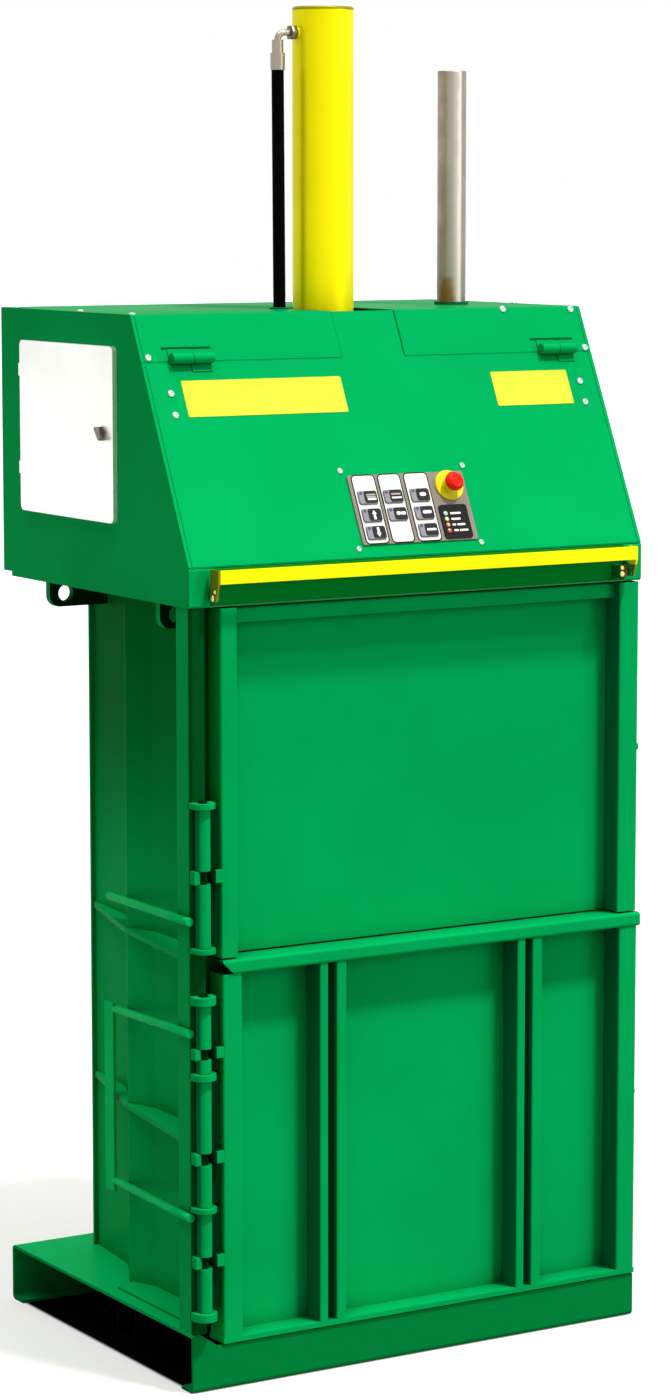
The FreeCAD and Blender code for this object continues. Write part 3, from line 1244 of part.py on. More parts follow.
def cylinder_barrel():
    """Barrel with its welded cap, mounting flange and upper port boss."""
    barrel = ring(BARREL_RADIUS, BORE_RADIUS, 0, PRESS_Y, BARREL_BOTTOM, BARREL_TOP)
    cap = cylinder(V(0, PRESS_Y, BARREL_TOP - BARREL_CAP), V(0, PRESS_Y, BARREL_TOP),
                   BARREL_RADIUS)
    low = WALL_TOP + CROSS_HEIGHT + HEAD_SHEET
    flange = ring(FLANGE_RADIUS, BORE_RADIUS, 0, PRESS_Y, low, low + HEAD_SHEET)
    flange = flange.common(box(-FLANGE_FLAT, FLANGE_RADIUS, 0, 2 * PRESS_Y, 0, BARREL_TOP))
    boss = cylinder(V(-BARREL_RADIUS - BOSS_LENGTH, PRESS_Y, ELBOW_Z),
                    V(-BORE_RADIUS - CUT, PRESS_Y, ELBOW_Z), BOSS_RADIUS)
    body = join([barrel, cap, flange, boss])
    return body.makeChamfer(BARREL_EDGE, edges_at(body, BARREL_TOP))


def cylinder_gland():
    """Head screwed into the barrel's lower end; it guides the piston rod."""
    return ring(BORE_RADIUS, PISTON_ROD + RUN_FIT, 0, PRESS_Y, BARREL_BOTTOM,
                BARREL_BOTTOM + GLAND_HEIGHT)


def piston_rod():
    """Piston and rod, ending in the platen's boss."""
    top = BARREL_TOP - BARREL_CAP - HINGE_CLEAR
    piston = cylinder(V(0, PRESS_Y, top - PISTON_HEIGHT), V(0, PRESS_Y, top),
                      BORE_RADIUS - RUN_FIT)
    foot = PLATEN_BOTTOM + PLATEN_PLATE
    rod = cylinder(V(0, PRESS_Y, foot), V(0, PRESS_Y, top), PISTON_ROD)
    return join([piston, rod])


def platen_plan(inset):
    """Left half of the platen's plan, from front to rear."""
    wall = offset_line(wall_line(), WALL_SHEET + inset)
    front = HEADER_FRONT + WALL_SHEET + inset
    straight_x = wall[1][0]
    rear_y = CORNER_Y - inset
    slope_run = unit(wall[-2], wall[-1])
    step = (rear_y - wall[-2][1]) / slope_run[1]
    return [(straight_x, front), (straight_x, FOLD_Y), wall[-2],
            (wall[-2][0] + slope_run[0] * step, rear_y)]


def platen():
    """Press plate: thick sole with two strap grooves and a grid of upright ribs."""
    left = platen_plan(PLATEN_GAP)
    right = [(-x, y) for x, y in reversed(left)]
    low = PLATEN_BOTTOM
    top = low + PLATEN_PLATE
    sole = outline(left + right, "Z", low, top)
    inner = platen_plan(PLATEN_GAP + PLATEN_RIB)
    hole = outline(inner + [(-x, y) for x, y in reversed(inner)], "Z", top,
                   top + 2 * PLATEN_RIB_HEIGHT)
    rim = outline(left + right, "Z", top, top + PLATEN_RIB_HEIGHT).cut(hole)
    half = PLATEN_RIB / 2
    front, rear = left[0][1] + half, left[-1][1] - half
    ribs = [rim]
    for x_rib in (-BARREL_RADIUS, BARREL_RADIUS):
        ribs.append(box(x_rib - half, x_rib + half, front, rear, top, top + PLATEN_RIB_HEIGHT))
    for y_rib in (PRESS_Y - PLATEN_FRONT_RIB, PRESS_Y + PLATEN_REAR_RIB):
        reach = -left[1][0] - (PLATEN_REAR_END if y_rib > PRESS_Y else half)
        ribs.append(box(-reach, reach, y_rib - half, y_rib + half, top,
                        top + PLATEN_RIB_HEIGHT))
    boss = ring(PLATEN_BOSS - half, PISTON_ROD, 0, PRESS_Y, top, top + PLATEN_BOSS_HEIGHT)
    socket = ring(TUBE_RADIUS + PLATEN_SOCKET, TUBE_RADIUS, TUBE_X, TUBE_Y, top,
                  top + PLATEN_BOSS_HEIGHT)
    body = join([sole] + ribs + [boss, socket])
    body = body.cut(cylinder(V(TUBE_X, TUBE_Y, top),
                             V(TUBE_X, TUBE_Y, top + 2 * PLATEN_RIB_HEIGHT), TUBE_RADIUS))
    for channel in CHANNELS:
        middle = (channel[1] + channel[2]) / 2
        reach = STRAP_SLOT_WIDTH / 2
        body = body.cut(box(middle - reach, middle + reach, 0, CORNER_Y, low,
                            low + PLATEN_GROOVE))
    return body


def guide_tube():
    """Bare tube that rises with the platen and keeps it from turning."""
    foot = PLATEN_BOTTOM + PLATEN_PLATE
    tube = ring(TUBE_RADIUS, TUBE_RADIUS - TUBE_SHEET, TUBE_X, TUBE_Y, foot, TUBE_TOP)
    cap = cylinder(V(TUBE_X, TUBE_Y, TUBE_TOP - TUBE_SHEET), V(TUBE_X, TUBE_Y, TUBE_TOP),
                   TUBE_RADIUS)
    body = join([tube, cap])
    return body.makeFillet(TUBE_EDGE, edges_at(body, TUBE_TOP))


def guide_bush():
    """Flanged bush in the head plate."""
    low = WALL_TOP + CROSS_HEIGHT + HEAD_SHEET
    inner = TUBE_RADIUS + RUN_FIT
    body = ring(BUSH_RADIUS, inner, TUBE_X, TUBE_Y, low - HEAD_SHEET, low + BUSH_HEIGHT)
    flange = ring(BUSH_FLANGE, inner, TUBE_X, TUBE_Y, low, low + BUSH_RIM)
    return join([body, flange])


def tube_seal():
    """Dark ring on the hood where the guide tube comes through."""
    return ring(BUSH_RADIUS, TUBE_RADIUS + FACE_GAP, TUBE_X, TUBE_Y, HOOD_TOP,
                HOOD_TOP + SEAL_SHEET)


def elbow():
    """Port elbow: a short pipe from the barrel's boss that turns down to the hose."""
    start = V(-BARREL_RADIUS - BOSS_LENGTH, PRESS_Y, ELBOW_Z)
    corner = V(HOSE_X, PRESS_Y, ELBOW_Z)
    low = HOSE_TOP + FERRULE_HEIGHT
    bend = swept([start, corner, V(HOSE_X, PRESS_Y, low)], ELBOW_RADIUS, ELBOW_BEND)
    sleeve = cylinder(V(HOSE_X, PRESS_Y, low), V(HOSE_X, PRESS_Y, low + SLEEVE_HEIGHT),
                      SLEEVE_RADIUS)
    ferrule = cylinder(V(HOSE_X, PRESS_Y, HOSE_TOP), V(HOSE_X, PRESS_Y, low), FERRULE_RADIUS)
    return join([bend, sleeve, ferrule])


def hose():
    return cylinder(V(HOSE_X, PRESS_Y, HOSE_BOTTOM), V(HOSE_X, PRESS_Y, HOSE_TOP), HOSE_RADIUS)


def valve_block():
    """Valve block on the head plate, with the hose's lower ferrule on top."""
    low = WALL_TOP + CROSS_HEIGHT + HEAD_SHEET
    block = box(VALVE_X0, VALVE_X1, PRESS_Y - VALVE_HALF, PRESS_Y + VALVE_HALF, low, VALVE_TOP)
    block = block.makeChamfer(VALVE_EDGE, block.Edges)
    ferrule = cylinder(V(HOSE_X, PRESS_Y, VALVE_TOP), V(HOSE_X, PRESS_Y, HOSE_BOTTOM),
                       FERRULE_RADIUS)
    coil = cylinder(V(COIL_X, PRESS_Y, VALVE_TOP), V(COIL_X, PRESS_Y, VALVE_TOP + COIL_HEIGHT),
                    COIL_RADIUS)
    return join([block, ferrule, coil])


def oil_tank():
    """Closed tank behind the crosshead, on the tops of the chamber walls."""
    outer = box(-TANK_HALF, TANK_HALF, TANK_FRONT, TANK_REAR, WALL_TOP, TANK_TOP)
    outer = outer.makeFillet(TANK_CORNER, [edge for edge in outer.Edges
                                           if edge.BoundBox.ZLength > TANK_CORNER])
    inner = box(-TANK_HALF + TANK_SHEET, TANK_HALF - TANK_SHEET, TANK_FRONT + TANK_SHEET,
                TANK_REAR - TANK_SHEET, WALL_TOP + TANK_SHEET, TANK_TOP - TANK_SHEET)
    neck = cylinder(V(MOTOR_X, MOTOR_Y, TANK_TOP - 2 * TANK_SHEET),
                    V(MOTOR_X, MOTOR_Y, TANK_TOP + CUT), PUMP_RADIUS)
    filler_x = TANK_HALF - FILLER_INSET
    filler = cylinder(V(filler_x, MOTOR_Y, TANK_TOP),
                      V(filler_x, MOTOR_Y, TANK_TOP + FILLER_HEIGHT), FILLER_RADIUS)
    return join([outer.cut(inner).cut(neck), filler])


def pump():
    """Gear pump hung in the tank under the motor."""
    body = cylinder(V(MOTOR_X, MOTOR_Y, TANK_TOP - PUMP_HEIGHT), V(MOTOR_X, MOTOR_Y, TANK_TOP),
                    PUMP_RADIUS)
    return body


def motor():
    """Upright flange motor: finned body, foot flange and fan cover."""
    low = TANK_TOP + MOTOR_FOOT
    high = TANK_TOP + MOTOR_HEIGHT - MOTOR_FAN
    flange = cylinder(V(MOTOR_X, MOTOR_Y, TANK_TOP), V(MOTOR_X, MOTOR_Y, low), MOTOR_RADIUS)
    core = cylinder(V(MOTOR_X, MOTOR_Y, low), V(MOTOR_X, MOTOR_Y, high),
                    MOTOR_RADIUS - MOTOR_CORE_INSET)
    fan = cylinder(V(MOTOR_X, MOTOR_Y, high), V(MOTOR_X, MOTOR_Y, high + MOTOR_FAN),
                   MOTOR_RADIUS - MOTOR_FAN_INSET)
    pieces = [flange, core, fan]
    edge = MOTOR_X + MOTOR_RADIUS
    for index in range(MOTOR_FINS):
        fin = box(edge - FIN_ROOT, edge - FIN_INSET, MOTOR_Y - FIN_SHEET / 2,
                  MOTOR_Y + FIN_SHEET / 2, low, high)
        fin.rotate(V(MOTOR_X, MOTOR_Y, 0), V(0, 0, 1), index * 360.0 / MOTOR_FINS)
        pieces.append(fin)
    return join(pieces)


def oil_pipe():
    """Steel pipe from the valve block back to the tank."""
    height = (WALL_TOP + CROSS_HEIGHT + HEAD_SHEET + VALVE_TOP) / 2
    x_pipe = (VALVE_X0 + VALVE_X1) / 2
    points = [V(x_pipe, PRESS_Y + VALVE_HALF, height), V(x_pipe, PIPE_Y, height),
              V(x_pipe, PIPE_Y, TANK_TOP)]
    return swept(points, PIPE_RADIUS, PIPE_BEND)


# ================================================================ output
def save_frame():
    save("base_frame", base_frame())
    save("base_beam", base_beam())
    wall = chamber_wall()
    left_front = POST_FRONT + POST_DEPTH
    right_front = RIGHT_POST_FRONT + RIGHT_POST_DEPTH
    for side, front in (("left", left_front), ("right", right_front)):
        ribs = [side_rib(level, front) for level in RIB_LEVELS]
        ribs.append(foot_rib(front))
        ribbed = join([wall] + ribs)
        save("chamber_wall_" + side, ribbed if side == "left" else mirrored(ribbed))
    save("chamber_wall_rear", rear_wall())
    save("chamber_header", header())
    save("corner_post_left", join([left_post(), hinge_set(FEED_PLATES), hinge_set(BALE_PLATES)]
                                  + stop_blocks(FEED_GAPS + BALE_GAPS)))
    save("corner_post_right", join([right_post()] + [latch_stud(z) for z in LATCH_LEVELS]))
    front_lug = lug(LUG_FRONT_Y, -WALL_X)
    rear_lug = rear_lug_plate()
    save("lifting_lug_front_left", front_lug)
    save("lifting_lug_rear_left", rear_lug)
    save("lifting_lug_front_right", mirrored(front_lug))
    save("lifting_lug_rear_right", mirrored(rear_lug))
    save("side_rods", join([side_rod(*levels) for levels in ROD_LEVELS] + [rod_strap()]))
    save("crosshead", join([crosshead_beam(-1), crosshead_beam(1), head_plate()]))


def save_hood():
    save("hood_tray", join([hood_tray()] + trip_ears()))
    save("hood_side_left", join([left_hood_side()] + cabinet_hinges()))
    save("hood_side_right", right_hood_side())
    save("hood_rear_panel", rear_panel())
    save("hood_top", hood_top())
    save("hood_cover", hood_cover())
    save("cover_hinges_fixed", cover_hinges_fixed())
    save("cover_hinges_moving", cover_hinges_moving())
    save("control_plate", join([control_plate(), lamp_panel()]))
    save("switch_block", switch_block())
    for number, place in enumerate(key_places()):
        save("push_key_%d" % (number + 1), push_key(place))
    save("stop_collar", stop_collar())
    save("stop_button", stop_button())
    save("trip_bar", trip_bar())
    save("cabinet_box", cabinet_box())
    save("cabinet_door", cabinet_door())
    save("cabinet_lock", cabinet_lock())
    save("mounting_plate", mounting_plate())


def save_doors():
    save("feed_door", feed_door())
    save("feed_panel", feed_panel())
    save("bale_door", bale_door())
    save("bale_panel", join([bale_panel()] + [strap_channel(edges) for edges in CHANNELS]))
    save("cross_bar", cross_bar())
    save("feed_latch", latch_lever(LATCH_LEVELS[0]))
    save("bale_latch", latch_lever(LATCH_LEVELS[1]))


def save_press():
    save("cylinder_barrel", cylinder_barrel())
    save("cylinder_gland", cylinder_gland())
    save("piston_rod", piston_rod())
    save("platen", platen())
    save("guide_tube", guide_tube())
    save("guide_bush", guide_bush())
    save("tube_seal", tube_seal())
    save("port_elbow", elbow())
    save("pressure_hose", hose())
    save("valve_block", valve_block())
    save("oil_pipe", oil_pipe())
    save("oil_tank", oil_tank())
    save("pump_motor", join([motor(), pump()]))


save_frame()
save_hood()
save_doors()
save_press()
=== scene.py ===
# %% [markdown]
# # Recycling baler, dressed for the camera
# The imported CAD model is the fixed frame. This script gives it paint, bare metal and
# rubber, adds the screws, plates, key symbols and fittings that are too small for the
# CAD, and lights it as a product photograph on a white ground.

# %% Load the frame
import json
import math

import bmesh
import bpy
from mathutils import Matrix, Vector


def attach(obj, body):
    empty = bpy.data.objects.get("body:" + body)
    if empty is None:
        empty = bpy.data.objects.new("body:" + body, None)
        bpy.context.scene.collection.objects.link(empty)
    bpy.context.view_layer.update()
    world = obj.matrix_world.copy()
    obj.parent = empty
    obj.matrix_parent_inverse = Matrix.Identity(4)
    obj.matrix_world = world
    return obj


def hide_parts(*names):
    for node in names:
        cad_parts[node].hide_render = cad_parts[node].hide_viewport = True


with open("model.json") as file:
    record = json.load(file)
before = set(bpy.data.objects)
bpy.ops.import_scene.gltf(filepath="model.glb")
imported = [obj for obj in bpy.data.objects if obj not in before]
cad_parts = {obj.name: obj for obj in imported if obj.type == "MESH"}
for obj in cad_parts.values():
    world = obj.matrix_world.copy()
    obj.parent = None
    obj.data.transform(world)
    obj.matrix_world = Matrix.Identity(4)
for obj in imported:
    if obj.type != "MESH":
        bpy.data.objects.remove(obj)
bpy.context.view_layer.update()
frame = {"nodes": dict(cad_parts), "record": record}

# %% [markdown]
# ## Measures
# The sloped face of the hood carries most of the small things. A point on it is given as
# in the part's source: x across, s up the slope from the lip, h off the sheet, all in mm.
# One matrix lays a piece drawn flat onto that face, so nothing is placed by eye.

# %% Millimetres and the hood's slope
MM = 0.001
HOOD_FRONT_Y = -374.5
LIP = Vector((0, HOOD_FRONT_Y, 1542)) * MM
FOLD = Vector((0, -157.0, 1993)) * MM
UP_SLOPE = (FOLD - LIP).normalized()
OFF_SLOPE = Vector((1, 0, 0)).cross(UP_SLOPE).normalized()


def on_slope(x, s, h=0.0):
    """Matrix that lays local x across, y up the slope and z off the sheet."""
    turn = Matrix((Vector((1, 0, 0)), UP_SLOPE, OFF_SLOPE)).transposed().to_4x4()
    place = LIP + (Vector((x, 0, 0)) + UP_SLOPE * s + OFF_SLOPE * h) * MM
    return Matrix.Translation(place) @ turn


def facing(place, normal, up=(0, 0, 1)):
    """Matrix at a place in mm whose z axis is the given normal."""
    z_axis = Vector(normal).normalized()
    x_axis = Vector(up).cross(z_axis).normalized()
    turn = Matrix((x_axis, z_axis.cross(x_axis), z_axis)).transposed().to_4x4()
    return Matrix.Translation(Vector(place) * MM) @ turn


print("slope:", round(math.degrees(math.atan2(UP_SLOPE.z, UP_SLOPE.y)), 2), "degrees")

# %% [markdown]
# ## Node trees
# A finish is a small tree of shader nodes. One function adds a node, sets its properties and
# feeds its sockets, by name or by number. Colours are written as they look on screen, in sRGB
# hex, and turned to linear once. A pattern's size is written in millimetres. Map Range turns a
# pattern into a cover from zero to one, eased at both ends: its sockets 1 and 2 are the range
# that it reads and 3 and 4 the range that it gives. Layers of colour are then laid on a base,
# each through its cover, as coats are.

# %% Node helpers


def linear(hex_colour, scale=1.0):
    """An sRGB hex colour as linear RGBA, darker or lighter by a scale."""
    out = []
    for start in (0, 2, 4):
        value = int(hex_colour[start:start + 2], 16) / 255
        value = value / 12.92 if value <= 0.04045 else ((value + 0.055) / 1.055) ** 2.4
        out.append(min(1.0, value * scale))
    return (*out, 1.0)


def grain(millimetres):
    """Texture scale for a feature of that size, as object space is in metres."""
    return 1000.0 / millimetres


def add(tree, kind, inputs=None, **settings):
    """Add one node; settings are properties or sockets, inputs are sockets or constants."""
    node = tree.nodes.new("ShaderNode" + kind)
    for name, value in settings.items():
        if hasattr(node, name):
            setattr(node, name, value)
        else:
            node.inputs[name.replace("_", " ")].default_value = value
    for name, value in (inputs or {}).items():
        if isinstance(value, bpy.types.NodeSocket):
            tree.links.new(value, node.inputs[name])
        else:
            node.inputs[name].default_value = value
    return node


EASED = {"interpolation_type": "SMOOTHSTEP"}


def layered(tree, base, layers):
    """Colour of a base under layers, each given as (cover from zero to one, colour)."""
    for cover, colour in layers:
        base = add(tree, "Mix", {0: cover, 6: base, 7: colour}, data_type="RGBA").outputs[2]
    return base


def zone(tree, x=None, y=None, z=None, soft=3.0, toward=None):
    """One inside a box given in mm at rest, zero outside; it moves with its node.

    Toward names an axis and a way along it: only faces turned that way count."""
    fixed = add(tree, "TexCoord").outputs
    place = add(tree, "SeparateXYZ", {0: fixed["Object"]}).outputs
    limits = []
    if toward:
        normal = add(tree, "SeparateXYZ", {0: fixed["Normal"]}).outputs
        way = 1 if toward[0] == "+" else -1
        limits.append((normal["XYZ".index(toward[1])], 0.7 * way, 0.95 * way))
    for axis, span in enumerate((x, y, z)):
        for limit, way in zip(span or (), (1, -1)):
            limits.append((place[axis], (limit - way * soft) * MM, limit * MM))
    inside = 1.0
    for source, outer, inner in limits:
        edge = add(tree, "MapRange", {0: source, 1: outer, 2: inner}, **EASED).outputs[0]
        inside = add(tree, "Math", {0: inside, 1: edge}, operation="MULTIPLY").outputs[0]
    return inside


def speckle(tree, size, detail=2.0, stretch=None):
    """Noise of a feature size in millimetres, fixed to the object."""
    place = add(tree, "TexCoord").outputs["Object"]
    if stretch:
        place = add(tree, "Mapping", {"Vector": place}, Scale=stretch).outputs[0]
    return add(tree, "TexNoise", {"Vector": place}, Scale=grain(size),
               Detail=detail).outputs[0]


def surface(name, shader_of):
    """A material whose shader is made by a function of its node tree."""
    material = bpy.data.materials.new(name)
    material.use_nodes = True
    tree = material.node_tree
    tree.nodes.clear()
    add(tree, "OutputMaterial", {"Surface": shader_of(tree).outputs[0]})
    return material


print("texture scale of a 10 mm feature:", grain(10))

# %% [markdown]
# ## Powder coat
# The sheet steel is powder coated: sprayed dry and baked, which leaves a fine orange peel
# of two to three millimetres, an even, saturated colour and a soft gloss. Bent edges catch
# the light, so the Bevel node rounds them for the shader, and the edges are painted lighter:
# partly scuffing, partly painted highlight. Painted shade darkens the corners between sheets,
# and the colour is darker towards the foot of the machine. The photograph shows hardly any
# white veil on the green, so its reflection is weak and tinted. Where it shows a face darker
# or brighter than the lamps make it, such as the shaded recess of the left post, a zone
# paints shade onto the darker faces and light onto the brighter ones.

# %% Powder coats
EDGE_ROUNDING = 1.4 * MM
ORANGE_PEEL, PEEL_DEPTH = 2.6, 0.05 * MM
CLOUD_SIZE, SCUFF_SIZE, FOOT_NOISE_SIZE = 330, 14, 60
CORNER_REACH = 0.09
FOOT_HEIGHT = 0.1
# Dark green of the painted corner shade and of the darkening towards the foot.
DARKENING_GREEN = "013212"


def powder_coat(name, colour, rough, veil, tint=(1, 1, 1, 1), edge_wear_and_highlight=0.22, painted_corner_shade=0.0,
                lacquer=0.0, zones=()):
    """A coat a little cloudy, its edges lighter by scuffs and painted highlight, painted shade in
    corners, darker at the foot.
    """
    def shader(tree):
        cloud = speckle(tree, CLOUD_SIZE, 3.0)
        cloudy = add(tree, "MapRange", {0: cloud, 1: 0.35, 2: 0.7}, **EASED).outputs[0]
        rounded_edge = add(tree, "Bevel", samples=4, Radius=EDGE_ROUNDING).outputs[0]
        place = add(tree, "NewGeometry").outputs
        turned = add(tree, "VectorMath", {0: rounded_edge, 1: place["Normal"]},
                     operation="DOT_PRODUCT").outputs["Value"]
        # Edges are painted lighter: partly scuffing, partly painted highlight.
        edge = add(tree, "MapRange", {0: turned, 1: 0.99, 2: 0.9, 4: edge_wear_and_highlight}, **EASED).outputs[0]
        worn_and_lit_edge = add(tree, "Math", {0: edge, 1: speckle(tree, SCUFF_SIZE, 4.0)},
                   operation="MULTIPLY").outputs[0]
        layers = [(cloudy, linear(colour, 0.9)), (worn_and_lit_edge, linear(colour, 1.9))]
        if painted_corner_shade:
            # Painted shade darkens corners and recesses; the colour also darkens towards the
            # foot.
            corner = add(tree, "AmbientOcclusion", samples=6, Distance=CORNER_REACH)
            deep = add(tree, "MapRange", {0: corner.outputs["AO"], 1: 0.66, 2: 0.14, 4: painted_corner_shade},
                       **EASED).outputs[0]
            height = add(tree, "SeparateXYZ", {0: place["Position"]}).outputs[2]
            low = add(tree, "MapRange", {0: height, 1: FOOT_HEIGHT, 2: 0.0, 4: 0.6},
                      **EASED).outputs[0]
            foot = add(tree, "Math", {0: low, 1: speckle(tree, FOOT_NOISE_SIZE, 5.0)},
                       operation="MULTIPLY").outputs[0]
            layers += [(deep, linear(DARKENING_GREEN)), (foot, linear(DARKENING_GREEN))]
        # Zones paint shade and light onto chosen faces, over the corner shade.
        layers += [(zone(tree, **spans), linear(shade)) for shade, spans in zones]
        peel = add(tree, "Bump", {"Height": speckle(tree, ORANGE_PEEL, 1.0),
                                  "Normal": rounded_edge}, Strength=0.18, Distance=PEEL_DEPTH)
        gloss = add(tree, "MapRange", {0: cloud, 1: 0.3, 2: 0.75, 3: rough - 0.05,
                                       4: rough + 0.07}, **EASED).outputs[0]
        paint = layered(tree, linear(colour), layers)
        return add(tree, "BsdfPrincipled", {"Base Color": paint, "Roughness": gloss,
                                            "Normal": peel.outputs[0]}, IOR=1.5,
                   Metallic=lacquer, Specular_IOR_Level=veil, Specular_Tint=tint)
    return surface(name, shader)


def green_coat(name, zones=()):
    """The machine's green, with zones of painted shade and painted light given as (hex, spans of
    zone).
    """
    return powder_coat(name, "03a257", 0.36, 0.002, (0.1, 1, 0.5, 1), painted_corner_shade=0.8,
                       lacquer=0.03, zones=zones)


# Deep, even green with a soft gloss. Its zones are painted shade in recesses, under the
# hood and round the trip bar, and painted light on upward faces and along the tray's lower edge.
GREEN_COAT = green_coat("green_powder_coat")
# Painted shade on the left post's front face and, darker, behind the hinge barrels.
POST_COAT = green_coat("green_coat_shaded_post",
                       [("014a1b", {"y": (-372.5, -362)}),
                        ("012c10", {"x": (-491, -473), "y": (-396, -377), "soft": 1})])
# Painted shade behind the hinge barrels and on left-facing side faces; by the hinge post those
# faces are painted full green instead, which is painted light.
DOOR_COAT = green_coat("green_coat_doors",
                       [("012c10", {"x": (-470, -438), "y": (-384, -364), "soft": 2}),
                        ("016a44", {"y": (-396, -300), "toward": "-X"}),
                        ("03a84a", {"x": (-438, -430), "y": (-396, -300), "toward": "-X"})])
# Painted shade under the hood that fades downwards, and painted light on upward faces.
WALL_COAT = green_coat("green_coat_side_wall",
                       [("027330", {"z": (1250, 1700), "soft": 420}),
                        ("06bd68", {"toward": "+Z"})])
# Painted shade on the front faces of the lugs under the hood.
LUG_COAT = green_coat("green_coat_shaded_lug", [("012c14", {"toward": "-Y"})])
# Painted shadow of the trip bar below and above it, and a painted highlight along the tray's
# lower edge.
TRAY_COAT = green_coat("green_coat_tray",
                       [("01611f", {"x": (-458, 461), "y": (-378, -371), "z": (1473, 1512),
                                    "soft": 1.2}),
                        ("0b7d1a", {"x": (-450, 458), "y": (-378, -371), "z": (1530, 1545),
                                    "soft": 4}),
                        ("4a9a66", {"x": (-458, 461), "y": (-378, -371), "z": (1466, 1471),
                                    "soft": 1})])
# Painted shade on the upward faces of the hood top.
TOP_COAT = green_coat("green_coat_hood_top", [("02803f", {"toward": "+Z"})])
# Painted shade on the base's front face, and painted light on its upward faces.
BASE_COAT = green_coat("green_coat_base",
                       [("027e3b", {"y": (-374, -369), "soft": 1.5}),
                        ("05bd6a", {"z": (106, 130), "toward": "+Z"})])
# The rods are a lighter copy of the green, which is painted light; they are smoother, and
# carry a thin highlight along their length.
ROD_COAT = powder_coat("green_rod_coat_painted_light", "06bc68", 0.3, 0.002, (0.1, 1, 0.5, 1),
                       painted_corner_shade=0.4, lacquer=0.1)
# Lacquers look wetter than the powder coat: clean, full colour and a crisper highlight.
WHITE_COAT = powder_coat("white_lacquer", "ffffff", 0.3, 0.5, lacquer=0.7)
# Painted shade: the trip bar's left end and its parts below the bar are dark olive.
YELLOW_COAT = powder_coat("yellow_gloss_lacquer", "fff000", 0.34, 0.2, (1, 0.95, 0.4, 1),
                          lacquer=0.3,
                          zones=[("7d7f0c", {"x": (-470, -457.5), "soft": 1}),
                                 ("7d7a0c", {"z": (1470, 1503), "soft": 2})])
BARREL_COAT = powder_coat("yellow_barrel_lacquer", "fff200", 0.38, 0.2, (1, 0.95, 0.4, 1),
                          lacquer=0.4, zones=[("8f8a10", {"z": (2563, 2600), "soft": 3})])
# Half-matt grey, and black paint on the beam under the base, which is painted shade there
# and gives no light back.
GREY_COAT = powder_coat("grey_machine_coat", "6b7073", 0.45, 0.5)
UNDER_SHADE_COAT = powder_coat("painted_shade_black_underside", "010101", 0.8, 0.02, edge_wear_and_highlight=0)
print("materials so far:", len(bpy.data.materials))

# %% [markdown]
# ## Bare and plated metals
# The guide tube is ground steel: fine lines run round it, which draw its highlight out into
# an upright stripe. A painted highlight stripe brightens its front, it is browner along one
# side, and one rust patch tapers up from the seal. Fittings and screws are zinc plated, the
# piston rod is hard chrome, the trip bar's studs are pale brass. A metal keeps the default
# IOR; its colour is its reflection.

# %% Metals
LINE_SIZE, PATCH_CLOUD_SIZE = 1.5, 60
LINE_DEPTH = 0.03 * MM


def metal(name, colour, rough, lines=0.4, stretch=(1, 1, 1), patches=(), ring=0.0):
    """A bare metal; ring spreads its highlight along an upright axis, as turning does."""
    def shader(tree):
        fine = speckle(tree, LINE_SIZE, 3.0, stretch)
        cloud = speckle(tree, PATCH_CLOUD_SIZE, 6.0)
        lined = add(tree, "MapRange", {0: fine, 1: 0.35, 2: 0.7, 4: lines}, **EASED).outputs[0]
        layers = [(lined, linear(colour, 0.62))]
        # Each patch is laid through a cloud: the browner side, the painted highlight stripe, the
        # rust.
        for shade, spans in patches:
            patch_cloud = add(tree, "MapRange", {0: cloud, 1: 0.3, 2: 0.6, 3: 0.45}, **EASED)
            cover = add(tree, "Math", {0: zone(tree, **spans), 1: patch_cloud.outputs[0]},
                        operation="MULTIPLY").outputs[0]
            layers.append((cover, linear(shade)))
        relief = add(tree, "Bump", {"Height": fine}, Strength=0.15, Distance=LINE_DEPTH)
        dull = add(tree, "MapRange", {0: cloud, 1: 0.35, 2: 0.65, 3: rough, 4: rough + 0.12},
                   **EASED).outputs[0]
        inputs = {"Base Color": layered(tree, linear(colour), layers),
                  "Normal": relief.outputs[0], "Roughness": dull}
        if ring:
            inputs["Tangent"] = add(tree, "Tangent", direction_type="RADIAL",
                                    axis="Z").outputs[0]
        return add(tree, "BsdfPrincipled", inputs, Metallic=1.0, Anisotropic=ring,
                   Anisotropic_Rotation=0.25)
    return surface(name, shader)


# Warm grey: turning draws an upright stripe of light, a painted highlight stripe lies in
# front, one side is browner and a rust patch tapers up, all clouded.
GROUND_STEEL = metal("bare_ground_steel", "a39c92", 0.44, 0.12, (0.3, 0.3, 1),
                     patches=[("9b8a7c", {"x": (300, 312), "soft": 8}),
                              ("c8beb2", {"x": (338, 343), "y": (20, 40), "soft": 4}),
                              ("8a6238", {"x": (310, 325), "y": (32, 49), "z": (1985, 2002),
                                          "soft": 14}),
                              ("8a6238", {"x": (312, 323), "y": (34, 46), "z": (1985, 2024),
                                          "soft": 14}),
                              ("8a6238", {"x": (315, 321), "y": (36, 43), "z": (1985, 2040),
                                          "soft": 14})], ring=0.8)
# Zinc is cool and pale, satin steel warm, galvanised sheet dull, the nut dark.
ZINC = metal("zinc_plating", "b9d8c6", 0.28)
SATIN_STEEL = metal("satin_steel_fitting", "a2978a", 0.3)
GALVANISED = metal("galvanised_sheet", "b9bcbc", 0.4)
NUT_STEEL = metal("dark_nut_steel", "6d6656", 0.3)
